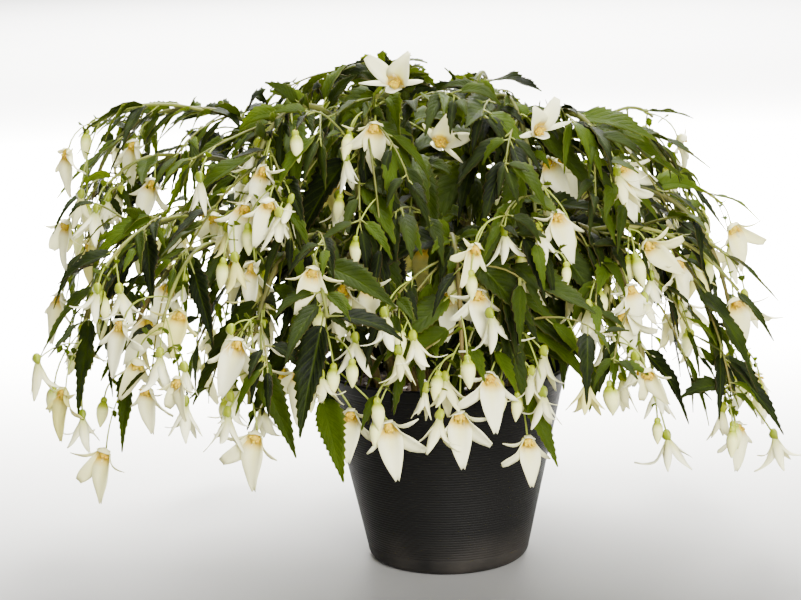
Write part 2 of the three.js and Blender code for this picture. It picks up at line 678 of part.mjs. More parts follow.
function bloomSolid(bloom) {
  const { base, axis, size } = bloom;
  const line = [0, 0.5, 1].map((t) => pedicelPoint(bloom, t));
  const radii = [PEDICEL_RADIUS * 1.1, PEDICEL_RADIUS, PEDICEL_RADIUS];
  if (bloom.kind === "bell") {
    line[2] = add(base, axis, -OVARY_LENGTH);
    line.push(add(base, axis, -OVARY_LENGTH * 0.3));
    radii.push(OVARY_RADIUS);
  }
  const stalk = hoops([...line, add(base, axis, 1)], [...radii, 0], 3, bloom.drop).slice(0, -1);
  if (bloom.kind !== "bud")
    return skin([...stalk, tepalOutline(bloom), [{ p: add(base, axis, THROAT_DEPTH), a: 0 }]]);
  const tip = add(base, axis, size);
  const belly = hoops([base, add(base, axis, size * 0.4), tip], [0, BUD_RADIUS, 0], 5, bloom.drop)[1];
  return skin([...stalk, belly, [{ p: tip, a: 0 }]]);
}

function leafyStemSolid(grown) {
  const pieces = [...grown.axes.map((axis) => axisSolid(axis)), ...grown.leaves.map(leafSolid)];
  return wasm.Manifold.union([...pieces, ...grown.blooms.map(bloomSolid)]);
}

// Pot: a thin cup with a band at the rim and drain holes in its floor
function fromGeometry(geometry) {
  geometry.deleteAttribute("normal");
  geometry.deleteAttribute("uv");
  const merged = mergeVertices(geometry, 1e-3);
  const triple = (list, i) => Array.from(list.slice(3 * i, 3 * i + 3));
  const triples = (list) => Array.from({ length: list.length / 3 }, (_, i) => triple(list, i));
  const faces = triples(merged.index.array).filter((face) => new Set(face).size === 3);
  return solidOf(triples(merged.attributes.position.array), faces);
}

function lathe(profile) {
  const points = profile.map(([r, z]) => new THREE.Vector2(r, z));
  return fromGeometry(new THREE.LatheGeometry(points, POT_SEGMENTS).rotateX(Math.PI / 2));
}

function potSolid() {
  const bandFoot = POT_HEIGHT - RIM_BAND;
  const rounding = [0, 0.4, 0.75, 1].map((k) => {
    const a = (k * Math.PI) / 2;
    return [potRadius(FOOT_ROUND) - FOOT_ROUND * (1 - Math.sin(a)), FOOT_ROUND * (1 - Math.cos(a))];
  });
  const cup = lathe([
    [0, 0],
    ...rounding,
    [potRadius(bandFoot), bandFoot],
    [potRadius(bandFoot) + RIM_PROUD, bandFoot + 1.5],
    [potRadius(POT_HEIGHT) + RIM_PROUD, POT_HEIGHT],
    [potInside(POT_HEIGHT), POT_HEIGHT],
    [potInside(FLOOR_TOP), FLOOR_TOP],
    [0, FLOOR_TOP],
  ]);
  const holes = Array.from({ length: DRAIN_HOLES }, (_, i) => {
    const a = (2 * Math.PI * (i + 0.5)) / DRAIN_HOLES;
    const drill = new THREE.CylinderGeometry(DRAIN_HOLE_RADIUS, DRAIN_HOLE_RADIUS, 3 * FLOOR_TOP, 8);
    drill.rotateX(Math.PI / 2).translate(DRAIN_CIRCLE, 0, FLOOR_TOP / 2).rotateZ(a);
    return fromGeometry(drill);
  });
  return cup.subtract(wasm.Manifold.union(holes));
}

function soilSolid() {
  const bottom = FLOOR_TOP + GAP;
  const body = lathe([
    [0, bottom],
    [potInside(bottom) - GAP, bottom],
    [potInside(SOIL_EDGE) - GAP, SOIL_EDGE],
    [70, SOIL_EDGE + SOIL_RISE * 0.7],
    [0, SOIL_EDGE + SOIL_RISE],
  ]);
  const holes = plant.map(({ axes: [axis] }) => {
    const foot = add(axis.rings[0], axisWay(axis, 0), -GAP);
    return axisSolid({ ...axis, rings: [foot, ...axis.rings.slice(1)] }, 3, GAP * 1.4);
  });
  return body.subtract(wasm.Manifold.union(holes));
}

function meshOf(name, solid, material) {
  const { vertProperties, triVerts } = solid.getMesh();
  const geometry = new THREE.BufferGeometry();
  geometry.setAttribute("position", new THREE.BufferAttribute(vertProperties, 3));
  geometry.setIndex(new THREE.BufferAttribute(triVerts, 1));
  geometry.computeVertexNormals();
  const mesh = new THREE.Mesh(geometry, material);
  mesh.name = name;
  return mesh;
}

const plastic = new THREE.MeshStandardMaterial({ color: 0x2b2b2c, roughness: 0.55, metalness: 0 });
const pottingSoil = new THREE.MeshStandardMaterial({ color: 0x2a1d14, roughness: 1, metalness: 0 });
const foliage = new THREE.MeshStandardMaterial({ color: 0x3c5a1e, roughness: 0.6, metalness: 0 });

const begonia = new THREE.Group();
begonia.add(meshOf("pot", potSolid(), plastic));
begonia.add(meshOf("soil", soilSolid(), pottingSoil));
for (const grown of plant) begonia.add(meshOf(grown.name, leafyStemSolid(grown), foliage));

export default begonia;
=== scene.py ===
import math
import random

import bmesh
import bpy
from mathutils import Euler, Matrix, Vector, noise


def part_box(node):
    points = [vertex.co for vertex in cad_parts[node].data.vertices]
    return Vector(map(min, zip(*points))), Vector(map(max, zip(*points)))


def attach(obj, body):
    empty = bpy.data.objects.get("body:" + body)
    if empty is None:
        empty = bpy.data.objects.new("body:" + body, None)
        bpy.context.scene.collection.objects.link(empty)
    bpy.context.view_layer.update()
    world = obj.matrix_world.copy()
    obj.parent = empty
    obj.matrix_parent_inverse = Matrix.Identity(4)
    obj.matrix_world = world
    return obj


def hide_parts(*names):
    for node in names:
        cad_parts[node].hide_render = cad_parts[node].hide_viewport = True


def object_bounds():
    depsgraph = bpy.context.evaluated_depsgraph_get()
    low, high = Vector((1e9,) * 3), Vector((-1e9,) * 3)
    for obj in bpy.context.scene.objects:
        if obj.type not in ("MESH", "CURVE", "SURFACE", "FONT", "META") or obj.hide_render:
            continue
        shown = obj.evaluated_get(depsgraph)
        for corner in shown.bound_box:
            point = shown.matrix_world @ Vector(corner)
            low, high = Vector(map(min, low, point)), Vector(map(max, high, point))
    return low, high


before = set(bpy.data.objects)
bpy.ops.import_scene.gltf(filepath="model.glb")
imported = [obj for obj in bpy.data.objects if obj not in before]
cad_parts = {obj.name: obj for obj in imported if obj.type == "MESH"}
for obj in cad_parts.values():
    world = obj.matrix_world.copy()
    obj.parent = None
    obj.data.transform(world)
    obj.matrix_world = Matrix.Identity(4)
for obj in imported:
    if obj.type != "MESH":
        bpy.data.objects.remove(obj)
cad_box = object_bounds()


# Pot
# A tapered grower's pot, injection moulded in one piece of dark plastic. Its wall has fine ribs all round,
# the foot is rounded, the rim has a thicker band, and the floor has four drain holes.
POT_SIDES = 96
POT_WALL = 0.0026
FOOT_ROUND = 0.010
FLOOR_TOP = 0.004
RIM_BAND = 0.011
RIM_PROUD = 0.0024
RIB_PITCH = 0.0023
RIB_DEPTH = 0.00022
DRAIN_HOLES = 4
DRAIN_HOLE_RADIUS = 0.006
DRAIN_CIRCLE = 0.034
WALL_FLARE = 0.217
FOOT_STEPS = 6
RIBS_START = 1.4 * FOOT_ROUND
RIBS_FREE = 1.6 * FOOT_ROUND
SHARP_EDGE = math.radians(50)


def node(tree, kind, inputs=None, **settings):
    """A new shader node. Inputs that are sockets get linked, and the others get their value set."""
    made = tree.nodes.new("ShaderNode" + kind)
    for name, value in settings.items():
        setattr(made, name, value)
    for key, value in (inputs or {}).items():
        if isinstance(value, bpy.types.NodeSocket):
            tree.links.new(value, made.inputs[key])
        else:
            made.inputs[key].default_value = value
    return made


def calc(tree, operation, a, b=0.0):
    """The output of a math node."""
    return node(tree, "Math", {0: a, 1: b}, operation=operation).outputs[0]


def blend(tree, share, a, b):
    """The colour that lies a share of the way from a to b."""
    return node(tree, "Mix", {0: share, 6: a, 7: b}, data_type="RGBA").outputs[2]


def span(tree, value, low, high, to_low=0.0, to_high=1.0):
    """The value taken from one range to another, and held at its ends."""
    return node(tree, "MapRange", {0: value, 1: low, 2: high, 3: to_low, 4: to_high}).outputs[0]


def soft_noise(tree, place, scale, detail):
    """Soft noise over a place, from 0 to 1."""
    return node(tree, "TexNoise", {"Vector": place, "Scale": scale, "Detail": detail}).outputs["Fac"]


def roughen(tree, shader, height, strength, distance):
    """Gives a shader fine relief from a height, and gives back its normal."""
    bump = node(tree, "Bump", {"Height": height, "Strength": strength, "Distance": distance})
    tree.links.new(bump.outputs[0], shader.inputs["Normal"])
    return bump.outputs[0]


def new_material(name):
    """A material with its node tree and its Principled shader."""
    material = bpy.data.materials.new(name)
    material.use_nodes = True
    return material, material.node_tree, material.node_tree.nodes["Principled BSDF"]


def mesh_of(bm, name):
    """The bmesh as a mesh. The bmesh itself is gone after this."""
    mesh = bpy.data.meshes.new(name)
    bm.to_mesh(mesh)
    bm.free()
    return mesh


def new_object(name, data):
    """An object in the scene with its mesh, light or camera."""
    made = bpy.data.objects.new(name, data)
    bpy.context.scene.collection.objects.link(made)
    return made


def finish_piece(name, bm, materials, replaced):
    """The bmesh as a smooth piece that rides on the part's body and stands for a CAD node."""
    mesh = mesh_of(bm, name)
    mesh.shade_smooth()
    for material in materials:
        mesh.materials.append(material)
    piece = new_object(name, mesh)
    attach(piece, "root")
    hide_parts(replaced)
    return piece


def spin_profile(bm, profile, sides):
    """Turns a line of (radius, height) points round the upright axis."""
    line = [bm.verts.new((radius, 0.0, height)) for radius, height in profile]
    edges = [bm.edges.new(pair) for pair in zip(line, line[1:])]
    bmesh.ops.spin(
        bm,
        geom=line + edges,
        cent=(0, 0, 0),
        axis=(0, 0, 1),
        angle=math.tau,
        steps=sides,
        use_merge=True,
    )
    bmesh.ops.remove_doubles(bm, verts=bm.verts, dist=1e-5)
    bmesh.ops.recalc_face_normals(bm, faces=bm.faces)


pot_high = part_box("pot")[1]
pot_height = pot_high.z
rim_radius = pot_high.x
wall_top = rim_radius - RIM_PROUD
wall_radius = lambda z: wall_top - WALL_FLARE * (pot_height - z)

foot = []
for step in range(FOOT_STEPS + 1):
    angle = math.pi / 2 * step / FOOT_STEPS
    radius = wall_radius(FOOT_ROUND) - FOOT_ROUND * (1 - math.sin(angle))
    foot.append((radius, FOOT_ROUND * (1 - math.cos(angle))))
band_foot = pot_height - RIM_BAND
rib_count = round((band_foot - RIBS_FREE) / RIB_PITCH)
ribs = []
for rib in range(rib_count):
    z = RIBS_START + rib * RIB_PITCH
    ribs += [(wall_radius(z), z), (wall_radius(z) - RIB_DEPTH, z + 0.3 * RIB_PITCH)]
    ribs += [(wall_radius(z + 0.6 * RIB_PITCH), z + 0.6 * RIB_PITCH)]
# The band steps out of the wall, and the rim's edges are rounded
rim = [
    (wall_radius(band_foot), band_foot),
    (wall_radius(band_foot) + 0.8 * RIM_PROUD, band_foot + 0.0008),
    (wall_radius(band_foot) + RIM_PROUD, band_foot + 0.002),
    (rim_radius, pot_height - 0.0012),
    (rim_radius - 0.0006, pot_height - 0.0003),
    (rim_radius - 0.0014, pot_height),
    (wall_top - POT_WALL + 0.0012, pot_height),
    (wall_top - POT_WALL, pot_height - 0.0012),
]
inside = [(wall_radius(FLOOR_TOP) - POT_WALL, FLOOR_TOP), (0.0, FLOOR_TOP)]

pot_bm = bmesh.new()
spin_profile(pot_bm, [(0.0, 0.0)] + foot + ribs + rim + inside, POT_SIDES)

drill_bm = bmesh.new()
for hole in range(DRAIN_HOLES):
    turn = Matrix.Rotation(math.tau * (hole + 0.5) / DRAIN_HOLES, 4, "Z")
    bmesh.ops.create_cone(
        drill_bm,
        cap_ends=True,
        segments=20,
        radius1=DRAIN_HOLE_RADIUS,
        radius2=DRAIN_HOLE_RADIUS,
        depth=4 * FLOOR_TOP,
        matrix=turn @ Matrix.Translation((DRAIN_CIRCLE, 0, 0)),
    )
drill = new_object("drill", mesh_of(drill_bm, "drill"))

plastic, tree, shader = new_material("pot_plastic")
place = node(tree, "TexCoord").outputs["Object"]
cloud = soft_noise(tree, place, 14.0, 5.0)
grain = soft_noise(tree, place, 1400.0, 2.0)
low = node(tree, "SeparateXYZ", {0: place}).outputs["Z"]
dust = calc(tree, "MULTIPLY", span(tree, low, 0.04, 0.0), span(tree, cloud, 0.35, 0.7))
dark = blend(tree, cloud, (0.0048, 0.0047, 0.0044, 1), (0.009, 0.0087, 0.008, 1))
dusty = blend(tree, calc(tree, "MULTIPLY", dust, 0.3), dark, (0.1, 0.085, 0.07, 1))
tree.links.new(dusty, shader.inputs["Base Color"])
tree.links.new(span(tree, cloud, 0.3, 0.75, 0.5, 0.64), shader.inputs["Roughness"])
shader.inputs["Specular IOR Level"].default_value = 0.07
roughen(tree, shader, grain, 0.1, 0.0002)

pot = finish_piece("pot_shell", pot_bm, [plastic], "pot")
cut = pot.modifiers.new("drain_holes", "BOOLEAN")
cut.operation = "DIFFERENCE"
cut.solver = "EXACT"
cut.object = drill
drilled = bpy.data.meshes.new_from_object(pot.evaluated_get(bpy.context.evaluated_depsgraph_get()))
pot.modifiers.remove(cut)
pot.data = drilled
pot.data.set_sharp_from_angle(angle=SHARP_EDGE)
bpy.data.objects.remove(drill)


# Soil
# Dark peat mix with bark and white perlite crumbs fills the pot to about 25 mm below the rim. It is a loose
# fill, so its top is uneven and slopes gently down to the wall.
SOIL_EDGE = 0.147
SOIL_RISE = 0.005
SOIL_ROUGHNESS = 0.0022
SOIL_CRUMBS = 420
PERLITE_CRUMBS = 110
SOIL_GAP = 0.0004
SOIL_RINGS = 26
COARSE_LUMPS = 55
FINE_LUMPS = 210
CRUMB_REACH = 0.97
CRUMB_SIZES = (0.0008, 0.0024)
CRUMB_SEED = 7

soil_radius = lambda z: wall_radius(z) - POT_WALL - SOIL_GAP


def soil_height(x, y):
    """The soil's surface, with lumps at two scales."""
    share = min(1.0, math.hypot(x, y) / soil_radius(SOIL_EDGE))
    coarse = noise.noise(Vector((x, y, 0.0)) * COARSE_LUMPS)
    fine = noise.noise(Vector((x, y, 0.3)) * FINE_LUMPS)
    return SOIL_EDGE + SOIL_RISE * (1 - share * share) + SOIL_ROUGHNESS * (coarse + 0.6 * fine)


soil_bm = bmesh.new()
top_line = [(soil_radius(SOIL_EDGE) * step / SOIL_RINGS, SOIL_EDGE) for step in range(SOIL_RINGS, -1, -1)]
bottom = FLOOR_TOP + SOIL_GAP
spin_profile(soil_bm, [(0.0, bottom), (soil_radius(bottom), bottom)] + top_line, POT_SIDES)
for vertex in soil_bm.verts:
    if vertex.co.z > SOIL_EDGE - 1e-4:
        vertex.co.z = soil_height(vertex.co.x, vertex.co.y)

peat, tree, shader = new_material("peat")
place = node(tree, "TexCoord").outputs["Object"]
crumb = node(tree, "TexVoronoi", {"Vector": place, "Scale": 420.0}).outputs["Distance"]
cloud = soft_noise(tree, place, 90.0, 8.0)
shade = blend(tree, span(tree, cloud, 0.35, 0.7), (0.012, 0.008, 0.005, 1), (0.06, 0.036, 0.02, 1))
tree.links.new(shade, shader.inputs["Base Color"])
shader.inputs["Roughness"].default_value = 0.95
roughen(tree, shader, calc(tree, "ADD", crumb, cloud), 0.8, 0.0012)

perlite, tree, shader = new_material("perlite")
place = node(tree, "TexCoord").outputs["Object"]
pits = soft_noise(tree, place, 900.0, 3.0)
tree.links.new(blend(tree, pits, (0.42, 0.4, 0.36, 1), (0.75, 0.74, 0.7, 1)), shader.inputs["Base Color"])
shader.inputs["Roughness"].default_value = 0.9
roughen(tree, shader, pits, 0.6, 0.0005)

finish_piece("soil_fill", soil_bm, [peat], "soil")

chance = random.Random(CRUMB_SEED)
crumbs_bm = bmesh.new()
for crumb_index in range(SOIL_CRUMBS + PERLITE_CRUMBS):
    distance = soil_radius(SOIL_EDGE) * CRUMB_REACH * math.sqrt(chance.random())
    angle = chance.uniform(0, math.tau)
    spot = Vector((distance * math.cos(angle), distance * math.sin(angle), 0))
    spot.z = soil_height(spot.x, spot.y)
    tilt = Euler([chance.uniform(0, math.pi) for _ in range(3)]).to_matrix().to_4x4()
    size = chance.uniform(*CRUMB_SIZES)
    stretch = Matrix.Diagonal((size * chance.uniform(0.8, 2.2), size, size * chance.uniform(0.5, 1), 1))
    made = bmesh.ops.create_icosphere(
        crumbs_bm, subdivisions=1, radius=1, matrix=Matrix.Translation(spot) @ tilt @ stretch
    )
    if crumb_index < PERLITE_CRUMBS:
        for face in {face for vertex in made["verts"] for face in vertex.link_faces}:
            face.material_index = 1
finish_piece("soil_crumbs", crumbs_bm, [peat, perlite], "soil")


# Growth
# The plant grew as leafy stems that rise from the soil, arch and hang over the rim. Each carries leaves, thin
# flower stalks, blooms and buds. They are laid out here in millimetres, where the CAD solids of the same name
# hold them, and the sections below give each its shape.
POT_HEIGHT_MM = 172.0
FOOT_RADIUS_MM = 69.5
RIM_PROUD_MM = 2.4
SOIL_EDGE_MM = 147.0
ROOT_DEPTH_MM = 30.0

STEM_STEPS = 8
STEM_RADII = (4.4, 2.0)
SHOOT_STEPS = 3
SHOOT_RADII = (2.1, 1.7)

LEAF_LENGTH = 84.0
LEAF_WIDTH = 0.31
LEAF_STALK = 0.14
LEAF_STALK_RADIUS = 1.0
LEAF_KEEL = 0.28

TEPAL_LENGTH = 38.0
OVARY_LENGTH = 9.0
BUD_LENGTH = 23.0
BUD_RADIUS = 5.0

# Each leafy stem: azimuth of its lean and turn of its tip in degrees, how far from the axis it roots and
# reaches, the heights of its crest and tip, and how many leaves, flower clusters and shoots it carries.
STEM_KEYS = ("azimuth", "turn", "root", "reach", "crest", "tip", "leaves", "clusters", "shoots")
STEMS = [
    (193, 5, 57, 318, 318, 200, 5, 4, 1),
    (180, -6, 40, 316, 350, 256, 5, 3, 1),
    (168, 4, 27, 306, 386, 318, 5, 3, 1),
    (208, -4, 57, 288, 298, 184, 4, 4, 1),
    (226, 6, 57, 254, 308, 190, 4, 4, 1),
    (246, -6, 58, 206, 294, 196, 5, 3, 0),
    (268, 5, 57, 186, 304, 218, 5, 3, 0),
    (290, -5, 58, 190, 292, 204, 5, 3, 0),
    (312, 5, 57, 212, 306, 192, 4, 3, 1),
    (333, 5, 57, 246, 300, 160, 4, 4, 1),
    (353, -5, 42, 246, 324, 208, 4, 3, 1),
    (12, 6, 27, 216, 366, 300, 5, 3, 1),
    (36, -6, 57, 240, 322, 206, 4, 3, 1),
    (66, 6, 57, 240, 310, 194, 4, 3, 1),
    (98, -6, 57, 246, 326, 200, 4, 3, 1),
    (130, 6, 57, 268, 312, 194, 4, 3, 1),
    (212, 8, 28, 204, 400, 322, 5, 3, 0),
    (250, -8, 28, 150, 410, 308, 5, 3, 0),
    (292, 8, 28, 146, 406, 300, 5, 3, 0),
    (330, -6, 28, 178, 390, 296, 5, 3, 0),
    (60, 10, 27, 160, 404, 314, 5, 2, 0),
    (122, -10, 27, 178, 414, 332, 5, 2, 0),
]

# Blooms and buds that show at the front, by kind: how far right of the axis and above the ground the throat
# is, and how far the large tepal is turned from hanging straight down
SHOWN_BLOOMS = [
    ("face", [
        (-36, 427, 150), (-3, 376, 165), (-56, 396, 0), (74, 384, -140), (85, 328, 10),
        (-18, 287, 0), (-81, 273, 5), (-154, 335, -20), (-169, 285, 0), (-236, 245, -40),
        (-239, 343, -15), (-160, 242, -15), (-111, 218, 0), (-55, 254, -10), (146, 264, 0),
        (31, 206, -8),
    ]),
    ("bell", [
        (26, 268, 0), (66, 268, 30), (101, 245, 0), (73, 222, 20), (141, 189, 0),
        (171, 146, 0), (240, 100, 0), (268, 130, 0), (-6, 207, 10), (-330, 210, 0),
        (-302, 158, 0), (-204, 192, 0), (-172, 186, 30), (-260, 272, 0),
    ]),
    ("face", [
        (-76, 181, 0), (-52, 172, 10),
    ]),
    ("bud", [
        (58, 296, 0), (-99, 269, 0), (4, 282, 0), (-27, 313, 0), (83, 274, 0),
        (123, 261, 0), (-145, 231, 0), (-91, 220, 0), (43, 347, 0), (277, 151, 0),
    ]),
]

# Leaves that show at the front: where each leaves its stem and where its tip is, right and above the ground
SHOWN_LEAVES = [
    ((-297, 256), (-302, 177)), ((-236, 230), (-276, 196)), ((108, 246), (95, 178)),
    ((36, 252), (72, 194)), ((15, 248), (-47, 200)), ((-42, 348), (-72, 300)),
    ((-115, 262), (-115, 190)), ((-92, 402), (-60, 438)), ((36, 402), (62, 372)),
    ((-187, 362), (-205, 310)), ((8, 346), (-30, 280)), ((-40, 326), (-46, 250)),
    ((82, 318), (120, 250)), ((118, 336), (165, 276)), ((96, 396), (174, 372)),
    ((150, 372), (228, 334)), ((247, 200), (268, 140)), ((-262, 372), (-322, 330)),
]

seed_state = 43


def draw():
    """A random number from 0 to 1, the same row of them at each run."""
    global seed_state
    seed_state = (seed_state * 1664525 + 1013904223) & 0xFFFFFFFF
    return seed_state / 4294967296


def between(low, high):
    return low + (high - low) * draw()


def add(a, b, k=1.0):
    return (a[0] + b[0] * k, a[1] + b[1] * k, a[2] + b[2] * k)


def dot(a, b):
    return a[0] * b[0] + a[1] * b[1] + a[2] * b[2]


def cross(a, b):
    return (a[1] * b[2] - a[2] * b[1], a[2] * b[0] - a[0] * b[2], a[0] * b[1] - a[1] * b[0])


def scaled(a, k):
    return (a[0] * k, a[1] * k, a[2] * k)


def length(a):
    return math.sqrt(dot(a, a))


def unit(a):
    return scaled(a, 1 / length(a))


def square(a, way):
    """The part of a that is square to way."""
    return unit(add(a, way, -dot(a, way)))


UP = (0.0, 0.0, 1.0)
DOWN = (0.0, 0.0, -1.0)
FRONT = (0.0, -1.0, 0.0)


def outward(p):
    """The level way out from the pot's axis."""
    return unit((p[0], p[1] - 0.01, 0.0))


def quadratic(a, b, c, t):
    s = 1 - t
    return tuple(a[i] * s * s + 2 * b[i] * s * t + c[i] * t * t for i in range(3))


def cubic(a, b, c, d, t):
    s = 1 - t
    return a * s * s * s + 3 * b * s * s * t + 3 * c * s * t * t + d * t * t * t


def stem_point(stem, t):
    """A stem rises from the soil, arches at its crest and hangs to its tip, all in one upright plane."""
    low = SOIL_EDGE_MM - ROOT_DEPTH_MM
    crown = (stem["crest"] - (low + stem["tip"]) / 8) / 0.75
    turned = math.radians(stem["azimuth"] + stem["turn"])
    lean = math.radians(stem["azimuth"])
    root = (stem["root"] * math.cos(lean), stem["root"] * math.sin(lean), 0.0)
    reach = (stem["reach"] * math.cos(turned), stem["reach"] * math.sin(turned), 0.0)
    level = add(root, add(reach, root, -1), cubic(0, 0.12, 0.93, 1, t))
    return add(level, UP, cubic(low, crown, crown, stem["tip"], t))


def make_axis(point, steps, radii):
    """A stem or shoot as a row of rings, with the places on it that carry something or are bends."""
    taken = [i / steps for i in range(steps + 1)]
    return {"curve": point, "rings": [point(t) for t in taken], "radii": radii, "taken": taken}


SPACING = 6.5
PLACES = 60
PLACE_STEP = 1.5


def axis_long(axis):
    total = 0.0
    for a, b in zip(axis["rings"], axis["rings"][1:]):
        total += length(add(b, a, -1))
    return total


def free_place(axis, wanted):
    """The nearest place on an axis that keeps clear of what it carries already."""
    long = axis_long(axis)
    for k in range(PLACES):
        t = wanted + ((1 if k % 2 else -1) * math.ceil(k / 2) * PLACE_STEP) / long
        if 0.2 < t < 1 and all(abs(used - t) * long > SPACING for used in axis["taken"]):
            return t
    return wanted


def axis_part(axis, t):
    steps = len(axis["rings"]) - 1
    i = min(math.floor(t * steps), steps - 1)
    return axis["rings"][i], axis["rings"][i + 1], t * steps - i


def axis_point(axis, t):
    a, b, share = axis_part(axis, t)
    return add(scaled(a, 1 - share), b, share)


def axis_way(axis, t):
    a, b, _ = axis_part(axis, t)
    return unit(add(b, a, -1))


def axis_radius(axis, t):
    return axis["radii"][0] + (axis["radii"][1] - axis["radii"][0]) * t


def axis_balls(axis, count, near_until):
    shares = [n / count for n in range(count + 1)]
    return [(axis_point(axis, t), axis_radius(axis, t) + 1, t < near_until) for t in shares]


CELL = 12.0
room = {}


def take(balls, owner):
    """Marks room as taken: balls on a grid, each with the stem that it belongs to."""
    for p, r, _ in balls:
        key = tuple(math.floor(x / CELL) for x in p)
        room.setdefault(key, []).append((p, r, owner))


FLOOR_CLEAR = 3.0
POT_CLEAR = 1.0


def is_clear(balls, owner, others_clear, own_clear):
    """Whether all balls lie far enough outside the touching distance of what has grown already."""
    for p, r, near_root in balls:
        if p[2] < r + FLOOR_CLEAR:
            return False
        pot_out = FOOT_RADIUS_MM + WALL_FLARE * p[2] + RIM_PROUD_MM
        if p[2] < POT_HEIGHT_MM + r + 2 and math.sqrt(p[0] * p[0] + p[1] * p[1]) - pot_out - r < POT_CLEAR:
            return False
        i, j, k = (math.floor(x / CELL) for x in p)
        for x in (i - 1, i, i + 1):
            for y in (j - 1, j, j + 1):
                for z in (k - 1, k, k + 1):
                    for q, s, whose in room.get((x, y, z), ()):
                        if whose == owner and near_root:
                            continue
                        least = own_clear if whose == owner else others_clear
                        if math.dist(p, q) - r - s < least:
                            return False
    return True


OTHERS_CLEAR = 1.2
OWN_CLEAR = 0.6


def place_piece(owner, tries, make, others_clear=OTHERS_CLEAR, own_clear=OWN_CLEAR):
    """Tries a piece in several ways and keeps the first that is clear of all the others."""
    for n in range(tries):
        piece = make(n / tries)
        if is_clear(piece["balls"], owner, others_clear, own_clear):
            take(piece["balls"], owner)
            return piece
    return None


def leaf_rib(leaf, s):
    """A leaf's midrib, from its stem to its tip."""
    base, way, droop = leaf["base"], leaf["way"], leaf["droop"]
    end = add(add(base, way, leaf["length"] * (1 - 0.3 * droop)), DOWN, leaf["length"] * droop * 0.8)
    return quadratic(base, add(base, way, leaf["length"] * 0.5), end, s)


def leaf_frame(leaf, s):
    """The midrib's point, the way across the blade and the way out of its upper face."""
    ahead = unit(add(leaf_rib(leaf, s + 0.01), leaf_rib(leaf, s - 0.01), -1))
    across = unit(cross(leaf["face"], ahead))
    return leaf_rib(leaf, s), across, cross(ahead, across)


def blade_share(u):
    return LEAF_STALK + (1 - LEAF_STALK) * u


def blade_half(leaf, u, side):
    """Half the blade's width, lopsided as on every begonia leaf."""
    lopsided = 1.2 if side * leaf["broad"] > 0 else 0.8
    return leaf["length"] * LEAF_WIDTH * 0.5 * lopsided * math.sin(math.pi * math.sqrt(u * 0.98 + 0.01))


def blade_point(leaf, u, side, reach):
    at, across, normal = leaf_frame(leaf, blade_share(u))
    half = blade_half(leaf, u, side) * reach
    return add(add(at, across, side * half), normal, LEAF_KEEL * half)


def with_leaf_balls(leaf):
    balls = [(leaf_rib(leaf, 0.09), LEAF_STALK_RADIUS, True)]
    for n in range(1, 10):
        u = n / 9
        near_root = n < 2
        balls.append((leaf_rib(leaf, blade_share(u)), 3.5 if u < 1 else 2.0, near_root))
        if u < 1:
            for side in (-1, 1):
                for reach in (0.6, 1.0):
                    balls.append((blade_point(leaf, u, side, reach), 3.0, near_root))
    leaf["balls"] = balls
    return leaf


def make_leaf(base, stem_way, side, long):
    out = outward(base)
    aside = scaled(unit(cross(UP, add(stem_way, out, 0.02))), side)
    level = add(scaled(stem_way, between(0.3, 1.0)), aside, between(0.3, 1.3))
    way = unit(add(add(level, out, 0.35), UP, between(-0.8, 0.25)))
    face = square(add(add(UP, out, between(0.4, 1.1)), FRONT, 0.12), way)
    droop = between(0.1, 0.6)
    return with_leaf_balls(
        {"base": base, "way": way, "face": face, "length": long, "droop": droop, "broad": side}
    )


def pedicel_point(bloom, t):
    return quadratic(bloom["from"], bloom["over"], bloom["base"], t)


def make_pedicel(start, side, long):
    """A bloom or bud hangs on its own thin stalk, the pedicel."""
    out = outward(start)
    level = add(scaled(out, between(0.1, 0.75)), unit(cross(UP, out)), side * between(-0.2, 0.9))
    way = unit(add(level, UP, between(-0.9, 0.1)))
    base = add(add(start, way, long * 0.72), DOWN, long * 0.42)
    return {"from": start, "over": add(start, way, long * 0.6), "base": base}


# Tepals round the bloom's axis: angle, length and half width as shares of the bloom's size, and flare
TEPALS = {
    "face": ((0, 1.0, 0.2, 0.38), (85, 0.78, 0.17, 0.62), (160, 0.72, 0.09, 0.9), (272, 0.62, 0.08, 0.8)),
    "bell": ((0, 0.86, 0.16, 0.36), (90, 0.8, 0.14, 0.5), (180, 0.84, 0.16, 0.34), (270, 0.8, 0.14, 0.44)),
}


def bloom_point(bloom, angle, radius, along):
    """A point at an angle round the bloom's axis. Angle 0 hangs lowest."""
    aside = cross(bloom["axis"], bloom["drop"])
    turned = math.radians(angle)
    way = add(scaled(bloom["drop"], math.cos(turned)), aside, math.sin(turned))
    return add(add(bloom["base"], way, radius), bloom["axis"], along)


def tepal_angle(bloom, turn):
    return bloom["hand"] * turn + bloom["turn"]


def tepal_middle(bloom, tepal, t):
    """Distance from the bloom's axis and along it on a tepal's middle line."""
    long = bloom["size"] * tepal[1]
    radius = long * (0.1 * math.sqrt(t) + 0.06 * t + 0.9 * tepal[3] * t * t)
    return radius, long * t * (1 - 0.42 * tepal[3] * t)


